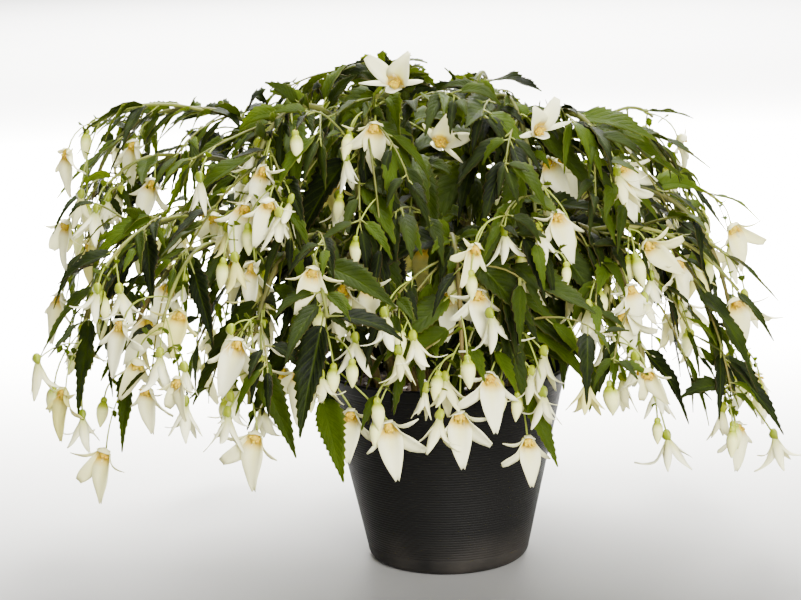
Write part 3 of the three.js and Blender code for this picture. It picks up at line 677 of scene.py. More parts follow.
def make_bloom(pedicel, kind, turn, lean):
    out = outward(pedicel["base"])
    opening = add(scaled(out, 0.7), FRONT, 0.75 if out[1] < 0.35 else 0.0)
    wobble = (between(-0.2, 0.2), between(-0.2, 0.2), between(-0.15, 0.1))
    axis = unit(add(add(DOWN, opening if kind == "face" else out, lean), wobble))
    hand = -1 if draw() < 0.5 else 1
    size = (BUD_LENGTH if kind == "bud" else TEPAL_LENGTH) * between(0.88, 1.06)
    drop = square((0.02, 0.01, -1.0), axis)
    bloom = dict(pedicel, kind=kind, axis=axis, drop=drop, hand=hand, turn=turn, size=size)
    balls = [(pedicel_point(bloom, t), 1.6, t < 0.4) for t in (0.3, 0.5, 0.7, 0.9)]
    bloom["balls"] = balls
    if kind == "bud":
        balls += [(add(bloom["base"], axis, size * t), BUD_RADIUS, False) for t in (0.2, 0.5, 0.8)]
        return bloom
    balls.append((add(bloom["base"], axis, 4), 5.0, False))
    for tepal in TEPALS[kind]:
        for t in (0.45, 0.75, 1.0):
            radius, along = tepal_middle(bloom, tepal, t)
            near = size * tepal[2] * 0.6 if t < 1 else 2.0
            balls.append((bloom_point(bloom, tepal_angle(bloom, tepal[0]), radius, along), near, False))
    return bloom


def lean_of(kind):
    return between(0.8, 1.2) if kind == "face" else between(0.0, 0.35)


plant = []
for index, row in enumerate(STEMS):
    stem = dict(zip(STEM_KEYS, row))
    main = make_axis(lambda t, stem=stem: stem_point(stem, t), STEM_STEPS, STEM_RADII)
    name = f"{index + 1:02d}"
    plant.append({"name": name, "stem": stem, "index": index, "axes": [main], "leaves": [], "blooms": []})
STEM_BALLS = 70
for grown in plant:
    take(axis_balls(grown["axes"][0], STEM_BALLS, 0), grown["index"])

SHOOT_TRIES = 16
SHOOT_BALLS = 22
for grown in plant:
    if not grown["stem"]["shoots"]:
        continue

    def make_shoot(share, main=grown["axes"][0]):
        start = 0.58 + 0.1 * share
        root = axis_point(main, start)
        aside = scaled(unit(cross(UP, outward(root))), -1 if share > 0.5 else 1)
        long = between(90, 140)
        go = unit(add(scaled(axis_way(main, start), 0.8), aside, between(0.45, 0.95)))
        over = add(add(root, go, long * 0.55), UP, long * between(0.08, 0.2))
        end = add(add(root, go, long * 0.95), UP, -long * between(0.15, 0.4))
        axis = make_axis(lambda t: quadratic(root, over, end, t), SHOOT_STEPS, SHOOT_RADII)
        return {"axis": axis, "balls": axis_balls(axis, SHOOT_BALLS, 0.27)}

    shoot = place_piece(grown["index"], SHOOT_TRIES, make_shoot)
    if shoot:
        grown["axes"].append(shoot["axis"])


def grow(grown, axis, wanted, tries, kept, make):
    """Grows a piece at a free place near the wanted one, if one of its tries is clear."""
    t = free_place(axis, wanted)
    made = place_piece(grown["index"], tries, lambda _: make(axis_point(axis, t), axis_way(axis, t)))
    if not made:
        return False
    made["root"] = axis["curve"](t)
    axis["taken"].append(t)
    kept.append(made)
    return True


BEHIND = 0.12
CHOICES = 12


def nearest_places(x, z, reach):
    """Places on the stems within reach of a point seen from the front, the nearest and foremost first."""
    places = []
    for grown in plant:
        for axis in grown["axes"]:
            t = 0.24
            while t < 1:
                p = axis_point(axis, t)
                far = math.sqrt((p[0] - x) ** 2 + (p[2] - z) ** 2)
                if far < reach:
                    places.append((far + BEHIND * p[1], grown, axis, t))
                t += 0.04
    return sorted(places, key=lambda found: found[0])[:CHOICES]


SHOWN_TRIES = 12
PEDICEL_RISE = 24
BLOOM_REACH = 52
LEAF_REACH = 40
for kind, (x, z, turn) in [(kind, place) for kind, places in SHOWN_BLOOMS for place in places]:

    def make_shown(start, _, kind=kind, x=x, z=z, turn=turn):
        base = (x + between(-3, 3), start[1] + between(-26, -6), z + between(-3, 3))
        over = add(add(scaled(add(start, base), 0.5), FRONT, between(2, 8)), UP, between(6, 14))
        return make_bloom({"from": start, "over": over, "base": base}, kind, turn, lean_of(kind))

    for _, grown, axis, t in nearest_places(x, z + PEDICEL_RISE, BLOOM_REACH):
        if grow(grown, axis, t, SHOWN_TRIES, grown["blooms"], make_shown):
            break

for start, end in SHOWN_LEAVES:

    def make_shown(base, _, end=end):
        tip = (end[0] + between(-4, 4), base[1] + between(-34, -8), end[1] + between(-4, 4))
        reach = add(tip, base, -1)
        long = min(1.06 * length(reach), LEAF_LENGTH * 1.15)
        way = unit(add(reach, UP, 0.2 * long))
        face = square(add(add(UP, outward(base), 0.8), FRONT, 0.5), way)
        leaf = {"base": base, "way": way, "face": face, "length": long, "droop": 0.25}
        leaf["broad"] = -1 if draw() < 0.5 else 1
        return with_leaf_balls(leaf)

    for _, grown, axis, t in nearest_places(start[0], start[1], LEAF_REACH):
        if grow(grown, axis, t, SHOWN_TRIES, grown["leaves"], make_shown):
            break

CLUSTER_TRIES = 12
MOST_BLOOMS = 6
CLUSTER_ROUNDS = 4
for turn_round in range(CLUSTER_ROUNDS):
    for grown in plant:
        for a, axis in enumerate(grown["axes"]):
            count = grown["stem"]["clusters"] if a == 0 else 2
            if turn_round >= count:
                continue
            t = 0.98 - (0.5 * turn_round) / (count - 1) if a == 0 else 0.97 - 0.45 * turn_round
            kinds = ("face", "bud") if turn_round % 2 == a else ("bell", "face")
            for m, kind in enumerate(kinds):
                if len(grown["blooms"]) >= MOST_BLOOMS:
                    continue
                side = -1 if (m + turn_round) % 2 else 1

                def make_hung(start, _, side=side, kind=kind):
                    pedicel = make_pedicel(start, side, between(26, 60))
                    return make_bloom(pedicel, kind, between(-18, 18), lean_of(kind))

                grow(grown, axis, t, CLUSTER_TRIES, grown["blooms"], make_hung)

LEAF_TRIES = 18
LEAF_ROUNDS = 6
for turn_round in range(LEAF_ROUNDS):
    for grown in plant:
        for a, axis in enumerate(grown["axes"]):
            count = grown["stem"]["leaves"] if a == 0 else 2
            if turn_round >= count:
                continue
            t = 0.995 - ((0.66 if a == 0 else 0.5) * turn_round) / (count - 1)
            side = -1 if (turn_round + a) % 2 else 1
            grownness = (1 if a == 0 else 0.8) * (0.62 + 0.5 * math.sin(math.pi * min(1, 1.15 - t)))

            def make_stood(base, stem_way, side=side, grownness=grownness):
                return make_leaf(base, stem_way, side, LEAF_LENGTH * grownness * between(0.85, 1.15))

            grow(grown, axis, t, LEAF_TRIES, grown["leaves"], make_stood)


# Young growth
# Thin twigs branch off every stem and fill the plant out. They and the stems carry many smaller leaves, from
# the crown down to the stem's foot and inside the plant, and more blooms and buds. Each keeps the first of
# several places that is clear of all else.
SPREADING_TWIGS = 6
HANGING_TWIGS = 3
TWIG_RADII = (1.2, 0.7)
TWIG_STEPS = 4
TWIG_BALLS = 10
TWIG_TRIES = 14
TWIG_CLEAR = -1.0
TWIG_OWN_CLEAR = -4.0
LATE_BLOOM_ROUNDS = 15
LATE_KINDS = ("face", "bud", "bell", "bell", "bud", "bell")
LATE_SIZES = (0.78, 1.0)
YOUNG_ROUNDS = 90
STEM_LEAF = 84
TWIG_LEAF = 62
YOUNG_BALL = 1.6
BEHIND_CROWN = -30
INNER_ROOT = 45
THINNING = 0.62
THINNING_REACH = 300
VIEW_STEPS = (14, 28, 42)
VIEW_WIDE = 11.0
VIEW_NARROW = 6.0
YOUNG_TRIES = 6
YOUNG_CLEAR = 0.0
OPEN_AIR = -1
YOUNG_OWN_CLEAR = -2.0


def make_twig(main, t, side, up, fall):
    """A twig goes out and to a side, and then bends down by a share of its length."""
    root = axis_point(main, t)
    out = outward(root)
    aside = scaled(unit(cross(UP, out)), side)
    go = add(scaled(axis_way(main, t), between(0.1, 0.8)), aside, between(0.2, 1.0))
    go = unit(add(add(go, out, between(0.0, 0.5)), UP, between(*up)))
    long = between(45, 100)
    over = add(root, go, long * 0.6)
    end = add(add(root, go, long * 0.9), DOWN, long * between(*fall))
    axis = make_axis(lambda t: quadratic(root, over, end, t), TWIG_STEPS, TWIG_RADII)
    axis["side_root"] = main["curve"](t)
    axis["last"] = 0.0
    return {"axis": axis, "balls": [(p, 1.0, near) for p, _, near in axis_balls(axis, TWIG_BALLS, 0.3)]}


def thinner(piece):
    """A young piece needs less room around it."""
    piece["balls"] = [(p, min(r, YOUNG_BALL), near) for p, r, near in piece["balls"]]
    return piece


def make_young_leaf(axis, t, side, long, up, spread, away=(0.1, 0.8)):
    """A small leaf that leaves its stem to one side, higher or lower than its neighbours."""
    base = axis_point(axis, t)
    out = outward(base)
    aside = scaled(unit(cross(UP, add(axis_way(axis, t), out, 0.02))), side)
    way = add(scaled(axis_way(axis, t), between(0.0, 0.8)), aside, between(*spread))
    way = unit(add(add(way, out, between(*away)), UP, between(*up)))
    face = square(add(add(add(UP, out, between(0.2, 1.2)), FRONT, 0.12), aside, between(-0.5, 0.3)), way)
    leaf = {"base": base, "way": way, "face": face, "length": long, "broad": side}
    leaf["droop"] = between(0.2, 0.85)
    leaf["root"] = axis["curve"](t)
    leaf["holder"] = (axis, t)
    return thinner(with_leaf_balls(leaf))


def keep_view(bloom):
    """Keeps the room in front of a bloom free, because the blooms hang outside the leaves."""
    out = outward(bloom["base"])
    view = unit(add(out, FRONT, 0.75 if out[1] < 0.35 else 0.0))
    middle = add(bloom["base"], bloom["axis"], 0.45 * bloom["size"])
    wide = VIEW_WIDE if bloom["kind"] == "face" else VIEW_NARROW
    take([(add(middle, view, far), wide, False) for far in VIEW_STEPS], OPEN_AIR)


# How high and how low the foliage reaches, at places right of the pot's axis, as it shows from the front
REACH_TOP = (
    *((-331, 205), (-328, 284), (-322, 345), (-300, 392), (-262, 408), (-177, 414), (-108, 431), (-49, 446)),
    *((35, 424), (69, 401), (111, 395), (179, 369), (225, 330), (240, 212), (285, 151), (308, 89)),
)
REACH_LOW = ((-335, 152), (-258, 141), (-180, 112), (-5, 111), (65, 121), (178, 125), (213, 102), (308, 118))
REACH_SPARE = 8
BLOOMS_LOWER = 25
OPENS_UP = 0.15
EYE = (-37.0, -1800.0, 600.0)


def level_at(line, x):
    """Height of a line of points at x, or none where the line doesn't reach."""
    for (x0, z0), (x1, z1) in zip(line, line[1:]):
        if x0 <= x <= x1:
            return z0 + (z1 - z0) * (x - x0) / (x1 - x0)
    return None


def within_reach(p, lower):
    """Whether a point shows within the foliage's outline and lies between the plant's front and back."""
    nearer = -EYE[1] / (p[1] - EYE[1])
    x, z = EYE[0] + (p[0] - EYE[0]) * nearer, EYE[2] + (p[2] - EYE[2]) * nearer
    top, low = level_at(REACH_TOP, x), level_at(REACH_LOW, x)
    return bool(top and low) and low - lower < z < top and reach_low < p[1] < reach_high


def grow_young(grown, make, kept):
    """Grows a young piece within the reach of the whole plant, if one of its tries is clear."""
    for _ in range(YOUNG_TRIES):
        young = make()
        lower = BLOOMS_LOWER if "kind" in young else 0
        if not all(within_reach(p, lower) for p, _, _ in young["balls"]):
            continue
        if is_clear(young["balls"], grown["index"], YOUNG_CLEAR, YOUNG_OWN_CLEAR):
            take(young["balls"], grown["index"])
            kept.append(young)
            if young["holder"]:
                axis, t = young["holder"]
                axis["last"] = max(axis.get("last", 0.0), t)
            return True
    return False


reach_low, reach_high = 1000 * cad_box[0][1] - REACH_SPARE, 1000 * cad_box[1][1] + REACH_SPARE
for grown in plant:
    for bloom in grown["blooms"]:
        if abs(bloom["turn"]) > 90:  # its large tepal points up, so the bloom opens upwards
            bloom["axis"] = unit((bloom["axis"][0], bloom["axis"][1], OPENS_UP))
            bloom["drop"] = square(UP, bloom["axis"])
            bloom["turn"] -= math.copysign(180, bloom["turn"])
        keep_view(bloom)
    grown["twigs"] = []
    grown["young"] = []
for turn_round in range(SPREADING_TWIGS + HANGING_TWIGS):
    for grown in plant:
        t = 0.3 + 0.66 * (turn_round + between(0.0, 1.0)) / SPREADING_TWIGS
        side = -1 if (turn_round + grown["index"]) % 2 else 1
        main = grown["axes"][0]
        bends = ((-0.2, 0.7), (0.1, 0.5)) if turn_round < SPREADING_TWIGS else ((-0.5, 0.3), (0.5, 0.95))
        t = min(t, 0.98) if turn_round < SPREADING_TWIGS else between(0.7, 1.0)
        make = lambda _: make_twig(main, t, side, *bends)
        twig = place_piece(grown["index"], TWIG_TRIES, make, TWIG_CLEAR, TWIG_OWN_CLEAR)
        if twig and all(within_reach(p, 0) for p, _, _ in twig["balls"]):
            grown["twigs"].append(twig["axis"])

for turn_round in range(LATE_BLOOM_ROUNDS):
    for grown in plant:
        axes = grown["axes"] + grown["twigs"]
        axis = axes[math.floor(draw() * len(axes))]
        t = between(0.55, 0.99)
        kind = LATE_KINDS[math.floor(draw() * len(LATE_KINDS))]
        side = -1 if draw() < 0.5 else 1
        older = grown["blooms"][math.floor(draw() * len(grown["blooms"]))]
        forked = draw() < 0.5

        def make_late():
            start = pedicel_point(older, 0.45) if forked else axis_point(axis, t)
            pedicel = make_pedicel(start, side, between(20, 46))
            bloom = make_bloom(pedicel, kind, between(-60, 60), lean_of(kind) * between(0.5, 1.0))
            bloom["size"] *= between(*LATE_SIZES)
            bloom["root"] = pedicel_point(older, 0.41) if forked else axis["curve"](t)
            bloom["holder"] = None if forked else (axis, t)
            return thinner(bloom)

        if grow_young(grown, make_late, grown["blooms"]):
            keep_view(grown["blooms"][-1])

for grown in plant:
    for axis in grown["twigs"]:
        for t in (1.0, 0.93):
            side = -1 if t < 1 else 1
            make = lambda: make_young_leaf(axis, t, side, between(26, 46), (-0.6, 0.3), (0.1, 0.8))
            grow_young(grown, make, grown["young"])


def grow_on_stems(stems, rounds, places, lengths, up, spread, away=(0.1, 0.8), behind=-math.inf):
    """Grows rounds of young leaves on main stems, between two places and not behind a depth."""
    for turn_round in range(rounds):
        for grown in stems:
            main = grown["axes"][0]
            t = between(*places)
            if axis_point(main, t)[1] < behind:
                continue
            side = -1 if turn_round % 2 else 1
            make = lambda: make_young_leaf(main, t, side, between(*lengths), up, spread, away)
            grow_young(grown, make, grown["young"])


# On the crest of each stem, and low down on it
grow_on_stems(plant, rounds=20, places=(0.24, 0.86), lengths=(24, 50), up=(0.1, 1.1), spread=(0.1, 1.0))
grow_on_stems(plant, rounds=24, places=(0.1, 0.42), lengths=(46, 82), up=(-0.7, 0.5), spread=(0.0, 1.3))

for turn_round in range(YOUNG_ROUNDS):
    for grown in plant:
        axes = grown["axes"] + grown["twigs"]
        axis = axes[math.floor(draw() * (len(axes) + 1.5)) % len(axes)]
        t = between(0.3 if axis is axes[0] else 0.15, 1.0)
        at = axis_point(axis, t)
        if draw() < THINNING * (at[0] * at[0] + at[1] * at[1]) / THINNING_REACH**2:
            continue
        side = -1 if turn_round % 2 else 1
        most = STEM_LEAF if axis in grown["axes"] else TWIG_LEAF
        make = lambda: make_young_leaf(axis, t, side, between(0.45, 1.0) * most, (-1.2, 0.35), (0.2, 1.2))
        grow_young(grown, make, grown["young"])

# On the crown, and inwards from the stems that root near the pot's axis
grow_on_stems(
    plant,
    rounds=22,
    places=(0.22, 0.66),
    lengths=(40, 78),
    up=(-0.3, 0.5),
    spread=(0.4, 1.4),
    behind=BEHIND_CROWN,
)
grow_on_stems(
    [grown for grown in plant if grown["stem"]["root"] <= INNER_ROOT],
    rounds=14,
    places=(0.26, 0.6),
    lengths=(44, 80),
    up=(0.2, 1.2),
    spread=(0.0, 0.7),
    away=(-1.2, -0.3),
)


# Stems
# Soft green stems with a reddish brown tinge, thick at the soil and thin at the tip, with swollen joints.
# They are rooted in the soil. Leaf stalks and the thread-like flower stalks are part of the same growth.
STEM_RINGS = 44
SHOOT_RINGS = 16
STALK_RINGS = 4
PEDICEL_RINGS = 7
JOINT_SWELL = 0.16
STEM_JOINTS = 11
SHOOT_JOINTS = 4
STEM_SLIM = 0.8
MM = 0.001


def tube_template(rings, sides):
    """A capped tube of unit radius along the upright axis, cut into rings."""
    bm = bmesh.new()
    bmesh.ops.create_cone(bm, cap_ends=True, segments=sides, radius1=1, radius2=1, depth=1)
    upright = [edge for edge in bm.edges if abs(edge.verts[0].co.z - edge.verts[1].co.z) > 0.5]
    bmesh.ops.subdivide_edges(bm, edges=upright, cuts=rings - 1, use_grid_fill=True)
    return mesh_of(bm, "tube")


def copy_in(bm, template):
    """Adds a copy of a template's mesh and gives back its corners."""
    start = len(bm.verts)
    bm.from_mesh(template)
    bm.verts.ensure_lookup_table()
    return [bm.verts[i] for i in range(start, len(bm.verts))]


def lay_tube(bm, template, line, radii, tone):
    """Lays a tube along a line of points in millimetres, one ring to a point. A higher tone is paler."""
    tones = bm.verts.layers.float["tone"]
    frames = []
    aside = (0.31, 0.22, 0.92)
    for i, at in enumerate(line):
        way = unit(add(line[min(i + 1, len(line) - 1)], line[max(i - 1, 0)], -1))
        aside = square(aside, way)
        frames.append((at, aside, cross(way, aside), radii[i]))
    for vertex in copy_in(bm, template):
        x, y, z = vertex.co
        at, a, b, radius = frames[round((z + 0.5) * (len(line) - 1))]
        place = add(add(at, a, x * radius), b, y * radius)
        vertex.co = scaled(place, MM)
        vertex[tones] = tone


def new_plant_bmesh():
    """An empty bmesh with the UV map and the tone that the plant's materials read."""
    bm = bmesh.new()
    bm.verts.layers.float.new("tone")
    bm.loops.layers.uv.new("UVMap")
    return bm


def leaf_stalk(leaf):
    """The leaf's stalk, from inside the smooth stem to just under the blade."""
    line = [leaf["root"]] + [leaf_rib(leaf, s) for s in (0.03, 0.08, 0.14, 0.2)]
    thick = 0.5 + 0.5 * leaf["length"] / LEAF_LENGTH
    return line, [thick * r for r in (1.5, 1.2, 0.95, 0.85, 0.7)]


stem_green, tree, shader = new_material("stem_green")
place = node(tree, "TexCoord").outputs["Object"]
tone = node(tree, "Attribute", attribute_name="tone").outputs["Fac"]
streaks = soft_noise(tree, place, 60.0, 4.0)
specks = soft_noise(tree, place, 900.0, 2.0)
height = node(tree, "SeparateXYZ", {0: place}).outputs["Z"]
green = blend(tree, streaks, (0.024, 0.031, 0.005, 1), (0.058, 0.075, 0.012, 1))
lowness = span(tree, height, 0.4, 0.16, 0.25, 0.9)
red_share = calc(tree, "MULTIPLY", span(tree, streaks, 0.35, 0.65), lowness)
reddish = blend(tree, red_share, green, (0.11, 0.045, 0.018, 1))
pale = blend(tree, tone, reddish, (0.25, 0.3, 0.04, 1))
speckled = blend(tree, span(tree, specks, 0.62, 0.75, 0.0, 0.25), pale, (0.2, 0.2, 0.08, 1))
tree.links.new(speckled, shader.inputs["Base Color"])
tree.links.new(span(tree, streaks, 0.3, 0.7, 0.5, 0.65), shader.inputs["Roughness"])
shader.inputs["Specular IOR Level"].default_value = 0.2
roughen(tree, shader, specks, 0.2, 0.0003)

stem_tube = tube_template(STEM_RINGS, 10)
shoot_tube = tube_template(SHOOT_RINGS, 8)
stalk_tube = tube_template(STALK_RINGS, 3)
pedicel_tube = tube_template(PEDICEL_RINGS, 4)

for grown in plant:
    bm = new_plant_bmesh()
    for a, axis in enumerate(grown["axes"]):
        rings = SHOOT_RINGS if a else STEM_RINGS
        shares = [k / rings for k in range(rings + 1)]
        joints = SHOOT_JOINTS if a else STEM_JOINTS
        swell = [1 + JOINT_SWELL * max(0.0, math.cos(math.tau * share * joints)) ** 3 for share in shares]
        radii = [STEM_SLIM * axis_radius(axis, share) * bulge for share, bulge in zip(shares, swell)]
        line = [axis["curve"](share) for share in shares]
        lay_tube(bm, shoot_tube if a else stem_tube, line, radii, 0.1 + 0.2 * a)
    for twig in grown["twigs"]:
        if not twig["last"]:
            continue
        shares = [twig["last"] * k / (PEDICEL_RINGS - 1) for k in range(PEDICEL_RINGS)]
        line = [twig["side_root"]] + [twig["curve"](share) for share in shares]
        lay_tube(bm, pedicel_tube, line, [1.4] + [axis_radius(twig, share) for share in shares], 0.2)
    for leaf in grown["leaves"] + grown["young"]:
        line, radii = leaf_stalk(leaf)
        lay_tube(bm, stalk_tube, line, radii, 0.5)
    for bloom in grown["blooms"]:
        shares = [k / (PEDICEL_RINGS - 1) for k in range(PEDICEL_RINGS)]
        line = [bloom["root"]] + [pedicel_point(bloom, share) for share in shares]
        radii = [0.9, 0.8] + [0.6 + 0.25 * share for share in shares[1:]]
        lay_tube(bm, pedicel_tube, line, radii, 0.9)
    finish_piece(f"stems_{grown['name']}", bm, [stem_green], f"leafy_stem_{grown['name']}")


# Leaves
# Thin, lopsided, pointed blades with toothed edges, mid green above, paler and matt below. They are folded a
# little along a pale midrib, puckered between the side veins, and glow yellow-green against the light. Two
# small green bracts sit where each flower stalk forks.
LEAF_CELLS = (26, 6)
YOUNG_CELLS = (12, 4)
SMALL_CELLS = (10, 2)
SMALL_LEAF = 40.0
LEAF_SHEET = 0.0005
TOOTH_OUT = 1.08
TOOTH_IN = 0.9
TOOTH_LEAN = 0.5
EDGE_WAVE = 0.16
BLADE_WAVE = 0.02
LEAF_SEED = 11


def sheet_template(cells):
    """A flat grid, 1 by 1, with its UV map: the sheet that a leaf or tepal is shaped from."""
    bm = bmesh.new()
    bm.loops.layers.uv.new("UVMap")
    bmesh.ops.create_grid(bm, x_segments=cells[0], y_segments=cells[1], size=0.5, calc_uvs=True)
    return mesh_of(bm, "sheet")


def thicken(piece, thickness):
    """Gives a sheet its thickness, with the second material on its underside and edge."""
    sheet = piece.modifiers.new("sheet", "SOLIDIFY")
    sheet.thickness = thickness
    sheet.offset = -1
    sheet.material_offset = 1
    sheet.material_offset_rim = 1


def lay_leaf(bm, template, cells, leaf, slim, tone, waves):
    """Shapes a copy of the sheet into a leaf: keeled, toothed, puckered and waved along its edge."""
    tones = bm.verts.layers.float["tone"]
    phase = 7.0 * leaf["length"]
    for vertex in copy_in(bm, template):
        u, v = vertex.co.x + 0.5, vertex.co.y * 2
        side, reach = (1 if v > 0 else -1), abs(v)
        at, across, normal = leaf_frame(leaf, blade_share(u))
        ahead = cross(across, normal)
        half = slim * blade_half(leaf, u, side)
        edge = reach**4
        out = round(u * cells[0]) % 2 and 0 < u < 1
        wide = reach * (1 + edge * ((TOOTH_OUT if out else TOOTH_IN) - 1))
        lean = edge * TOOTH_LEAN * leaf["length"] / cells[0] if out else 0.0
        rise = LEAF_KEEL * half * (1.3 * wide - 0.35 * wide * wide)
        rise += waves * half * EDGE_WAVE * reach * reach * math.sin(u * 15 + phase + 1.7 * side)
        rise += BLADE_WAVE * leaf["length"] * math.sin(u * 6 + phase) * (1 - u)
        place = add(add(at, across, side * half * wide), normal, rise)
        vertex.co = scaled(add(place, ahead, lean + half * 0.25 * reach * (1 - u)), MM)
        vertex[tones] = tone


def leaf_veins():
    """Node group: the pattern of a leaf's veins on its UV map, for colour and relief."""
    group = bpy.data.node_groups.new("leaf_veins", "ShaderNodeTree")
    group.interface.new_socket("UV", in_out="INPUT", socket_type="NodeSocketVector")
    group.interface.new_socket("Veins", in_out="OUTPUT", socket_type="NodeSocketFloat")
    group.interface.new_socket("Relief", in_out="OUTPUT", socket_type="NodeSocketFloat")
    entry = group.nodes.new("NodeGroupInput").outputs["UV"]
    leave = group.nodes.new("NodeGroupOutput")
    split = node(group, "SeparateXYZ", {0: entry})
    u, v = split.outputs["X"], split.outputs["Y"]
    reach = calc(group, "ABSOLUTE", calc(group, "MULTIPLY", calc(group, "SUBTRACT", v, 0.5), 2.0))
    midrib = span(group, reach, 0.11, 0.03)
    curved = calc(group, "SUBTRACT", calc(group, "MULTIPLY", u, 9.0), calc(group, "MULTIPLY", reach, 2.1))
    wobble = soft_noise(group, entry, 9.0, 2.0)
    curved = calc(group, "ADD", curved, calc(group, "MULTIPLY", wobble, 0.35))
    side_veins = calc(group, "ABSOLUTE", calc(group, "SUBTRACT", calc(group, "FRACT", curved), 0.5))
    side_lines = span(group, side_veins, 0.09, 0.02)
    net = node(group, "TexVoronoi", {"Vector": entry, "Scale": 34.0}, feature="DISTANCE_TO_EDGE")
    net_lines = calc(group, "MULTIPLY", span(group, net.outputs["Distance"], 0.06, 0.01), 0.35)
    large_veins = calc(group, "MAXIMUM", midrib, calc(group, "MULTIPLY", side_lines, 0.7))
    veins = calc(group, "MAXIMUM", large_veins, net_lines)
    pucker = calc(group, "ABSOLUTE", calc(group, "SINE", calc(group, "MULTIPLY", curved, math.pi)))
    raised = calc(group, "MULTIPLY", pucker, 0.8)
    relief = calc(group, "SUBTRACT", raised, calc(group, "MULTIPLY", veins, 0.6))
    group.links.new(veins, leave.inputs["Veins"])
    group.links.new(relief, leave.inputs["Relief"])
    return group


def thin_material(material_name, glow, glow_share):
    """A material that lets light through: a Principled shader mixed with a Translucent one."""
    material, tree, shader = new_material(material_name)
    through = node(tree, "BsdfTranslucent", {"Color": glow})
    mixed = node(tree, "MixShader", {0: glow_share, 1: shader.outputs[0], 2: through.outputs[0]})
    tree.links.new(mixed.outputs[0], tree.nodes["Material Output"].inputs["Surface"])
    return material, tree, shader, through


veins_group = leaf_veins()


def leaf_material(name, dark, light, vein, glow_dark, glow_light, roughness, relief):
    material, tree, shader, through = thin_material(name, (1, 1, 1, 1), 0.42)
    tone = node(tree, "Attribute", attribute_name="tone").outputs["Fac"]
    place = node(tree, "TexCoord").outputs["Object"]
    uv = node(tree, "TexCoord").outputs["UV"]
    pattern = node(tree, "Group", node_tree=veins_group)
    tree.links.new(uv, pattern.inputs["UV"])
    veins = pattern.outputs["Veins"]
    mottle = soft_noise(tree, place, 45.0, 5.0)
    share = calc(tree, "ADD", tone, span(tree, mottle, 0.3, 0.7, -0.15, 0.15))
    base = blend(tree, share, dark, light)
    coloured = blend(tree, calc(tree, "MULTIPLY", veins, 0.42), base, vein)
    edge = node(tree, "SeparateXYZ", {0: uv}).outputs["Y"]
    edge = span(tree, calc(tree, "ABSOLUTE", calc(tree, "SUBTRACT", edge, 0.5)), 0.47, 0.5, 0.0, 0.15)
    tree.links.new(blend(tree, edge, coloured, (0.3, 0.16, 0.06, 1)), shader.inputs["Base Color"])
    glow = blend(tree, share, glow_dark, glow_light)
    veined_glow = blend(tree, calc(tree, "MULTIPLY", veins, 0.4), glow, vein)
    tree.links.new(veined_glow, through.inputs["Color"])
    tree.links.new(span(tree, mottle, 0.3, 0.7, roughness, roughness + 0.12), shader.inputs["Roughness"])
    shader.inputs["Specular IOR Level"].default_value = 0.11
    normal = roughen(tree, shader, pattern.outputs["Relief"], relief, 0.0012)
    tree.links.new(normal, through.inputs["Normal"])
    return material


leaf_upper = leaf_material(
    "leaf_upper",
    dark=(0.002, 0.004, 0.0003, 1),
    light=(0.038, 0.066, 0.0008, 1),
    vein=(0.06, 0.094, 0.004, 1),
    glow_dark=(0.03, 0.055, 0.002, 1),
    glow_light=(0.5, 0.6, 0.02, 1),
    roughness=0.5,
    relief=0.38,
)
leaf_under = leaf_material(
    "leaf_under",
    dark=(0.005, 0.009, 0.0008, 1),
    light=(0.048, 0.073, 0.003, 1),
    vein=(0.07, 0.1, 0.009, 1),
    glow_dark=(0.03, 0.055, 0.002, 1),
    glow_light=(0.5, 0.6, 0.02, 1),
    roughness=0.5,
    relief=0.8,
)

BRACT_CELLS = (5, 2)
BRACT_LENGTHS = (6, 11)
BRACT_WIDTH = 1.9


def make_bract(bloom, side, chance):
    """One of the two small oval bracts that sit where a flower stalk forks."""
    base = pedicel_point(bloom, 0.42)
    along = unit(add(pedicel_point(bloom, 0.5), base, -1))
    aside = unit(cross(along, outward(base)))
    way = unit(add(add(scaled(aside, side), along, chance.uniform(-0.3, 0.7)), UP, chance.uniform(-0.2, 0.5)))
    face = square(add(scaled(along, -1), UP, 0.3), way)
    bract = {"base": base, "way": way, "face": face, "droop": 0.2, "broad": side}
    bract["length"] = chance.uniform(*BRACT_LENGTHS)
    return bract


bract_sheet = sheet_template(BRACT_CELLS)
leaf_sheet = sheet_template(LEAF_CELLS)
young_sheet = sheet_template(YOUNG_CELLS)
small_sheet = sheet_template(SMALL_CELLS)
shade = random.Random(LEAF_SEED)
for grown in plant:
    bm = new_plant_bmesh()
    for leaf in grown["leaves"]:
        tone = shade.uniform(0.0, 0.8) ** 1.3
        lay_leaf(bm, leaf_sheet, LEAF_CELLS, leaf, shade.uniform(0.76, 0.95), tone, shade.uniform(0.4, 1.0))
    for leaf in grown["young"]:
        tone = shade.uniform(0.0, 1.0) ** 1.4
        small = leaf["length"] < SMALL_LEAF
        sheet, cells = (small_sheet, SMALL_CELLS) if small else (young_sheet, YOUNG_CELLS)
        lay_leaf(bm, sheet, cells, leaf, shade.uniform(0.6, 0.88), tone, shade.uniform(0.2, 0.8))
    for bloom in grown["blooms"]:
        for side in (-1, 1):
            bract = make_bract(bloom, side, shade)
            lay_leaf(bm, bract_sheet, BRACT_CELLS, bract, BRACT_WIDTH, shade.uniform(0.6, 1.1), 0.3)
    name = f"leaves_{grown['name']}"
    leaves = finish_piece(name, bm, [leaf_upper, leaf_under], f"leafy_stem_{grown['name']}")
    thicken(leaves, LEAF_SHEET)


# Petals
# Each open bloom has four creamy white tepals on a short cup: a large kite that hangs, a blunt one at its
# side and two straps, with a small hood behind its throat. A bell has five that splay under its bulb, some
# with curled tips. They are thin, grown in one with the stem, and let light through.
PETAL_SHEET = 0.0004
PETAL_SEED = 5

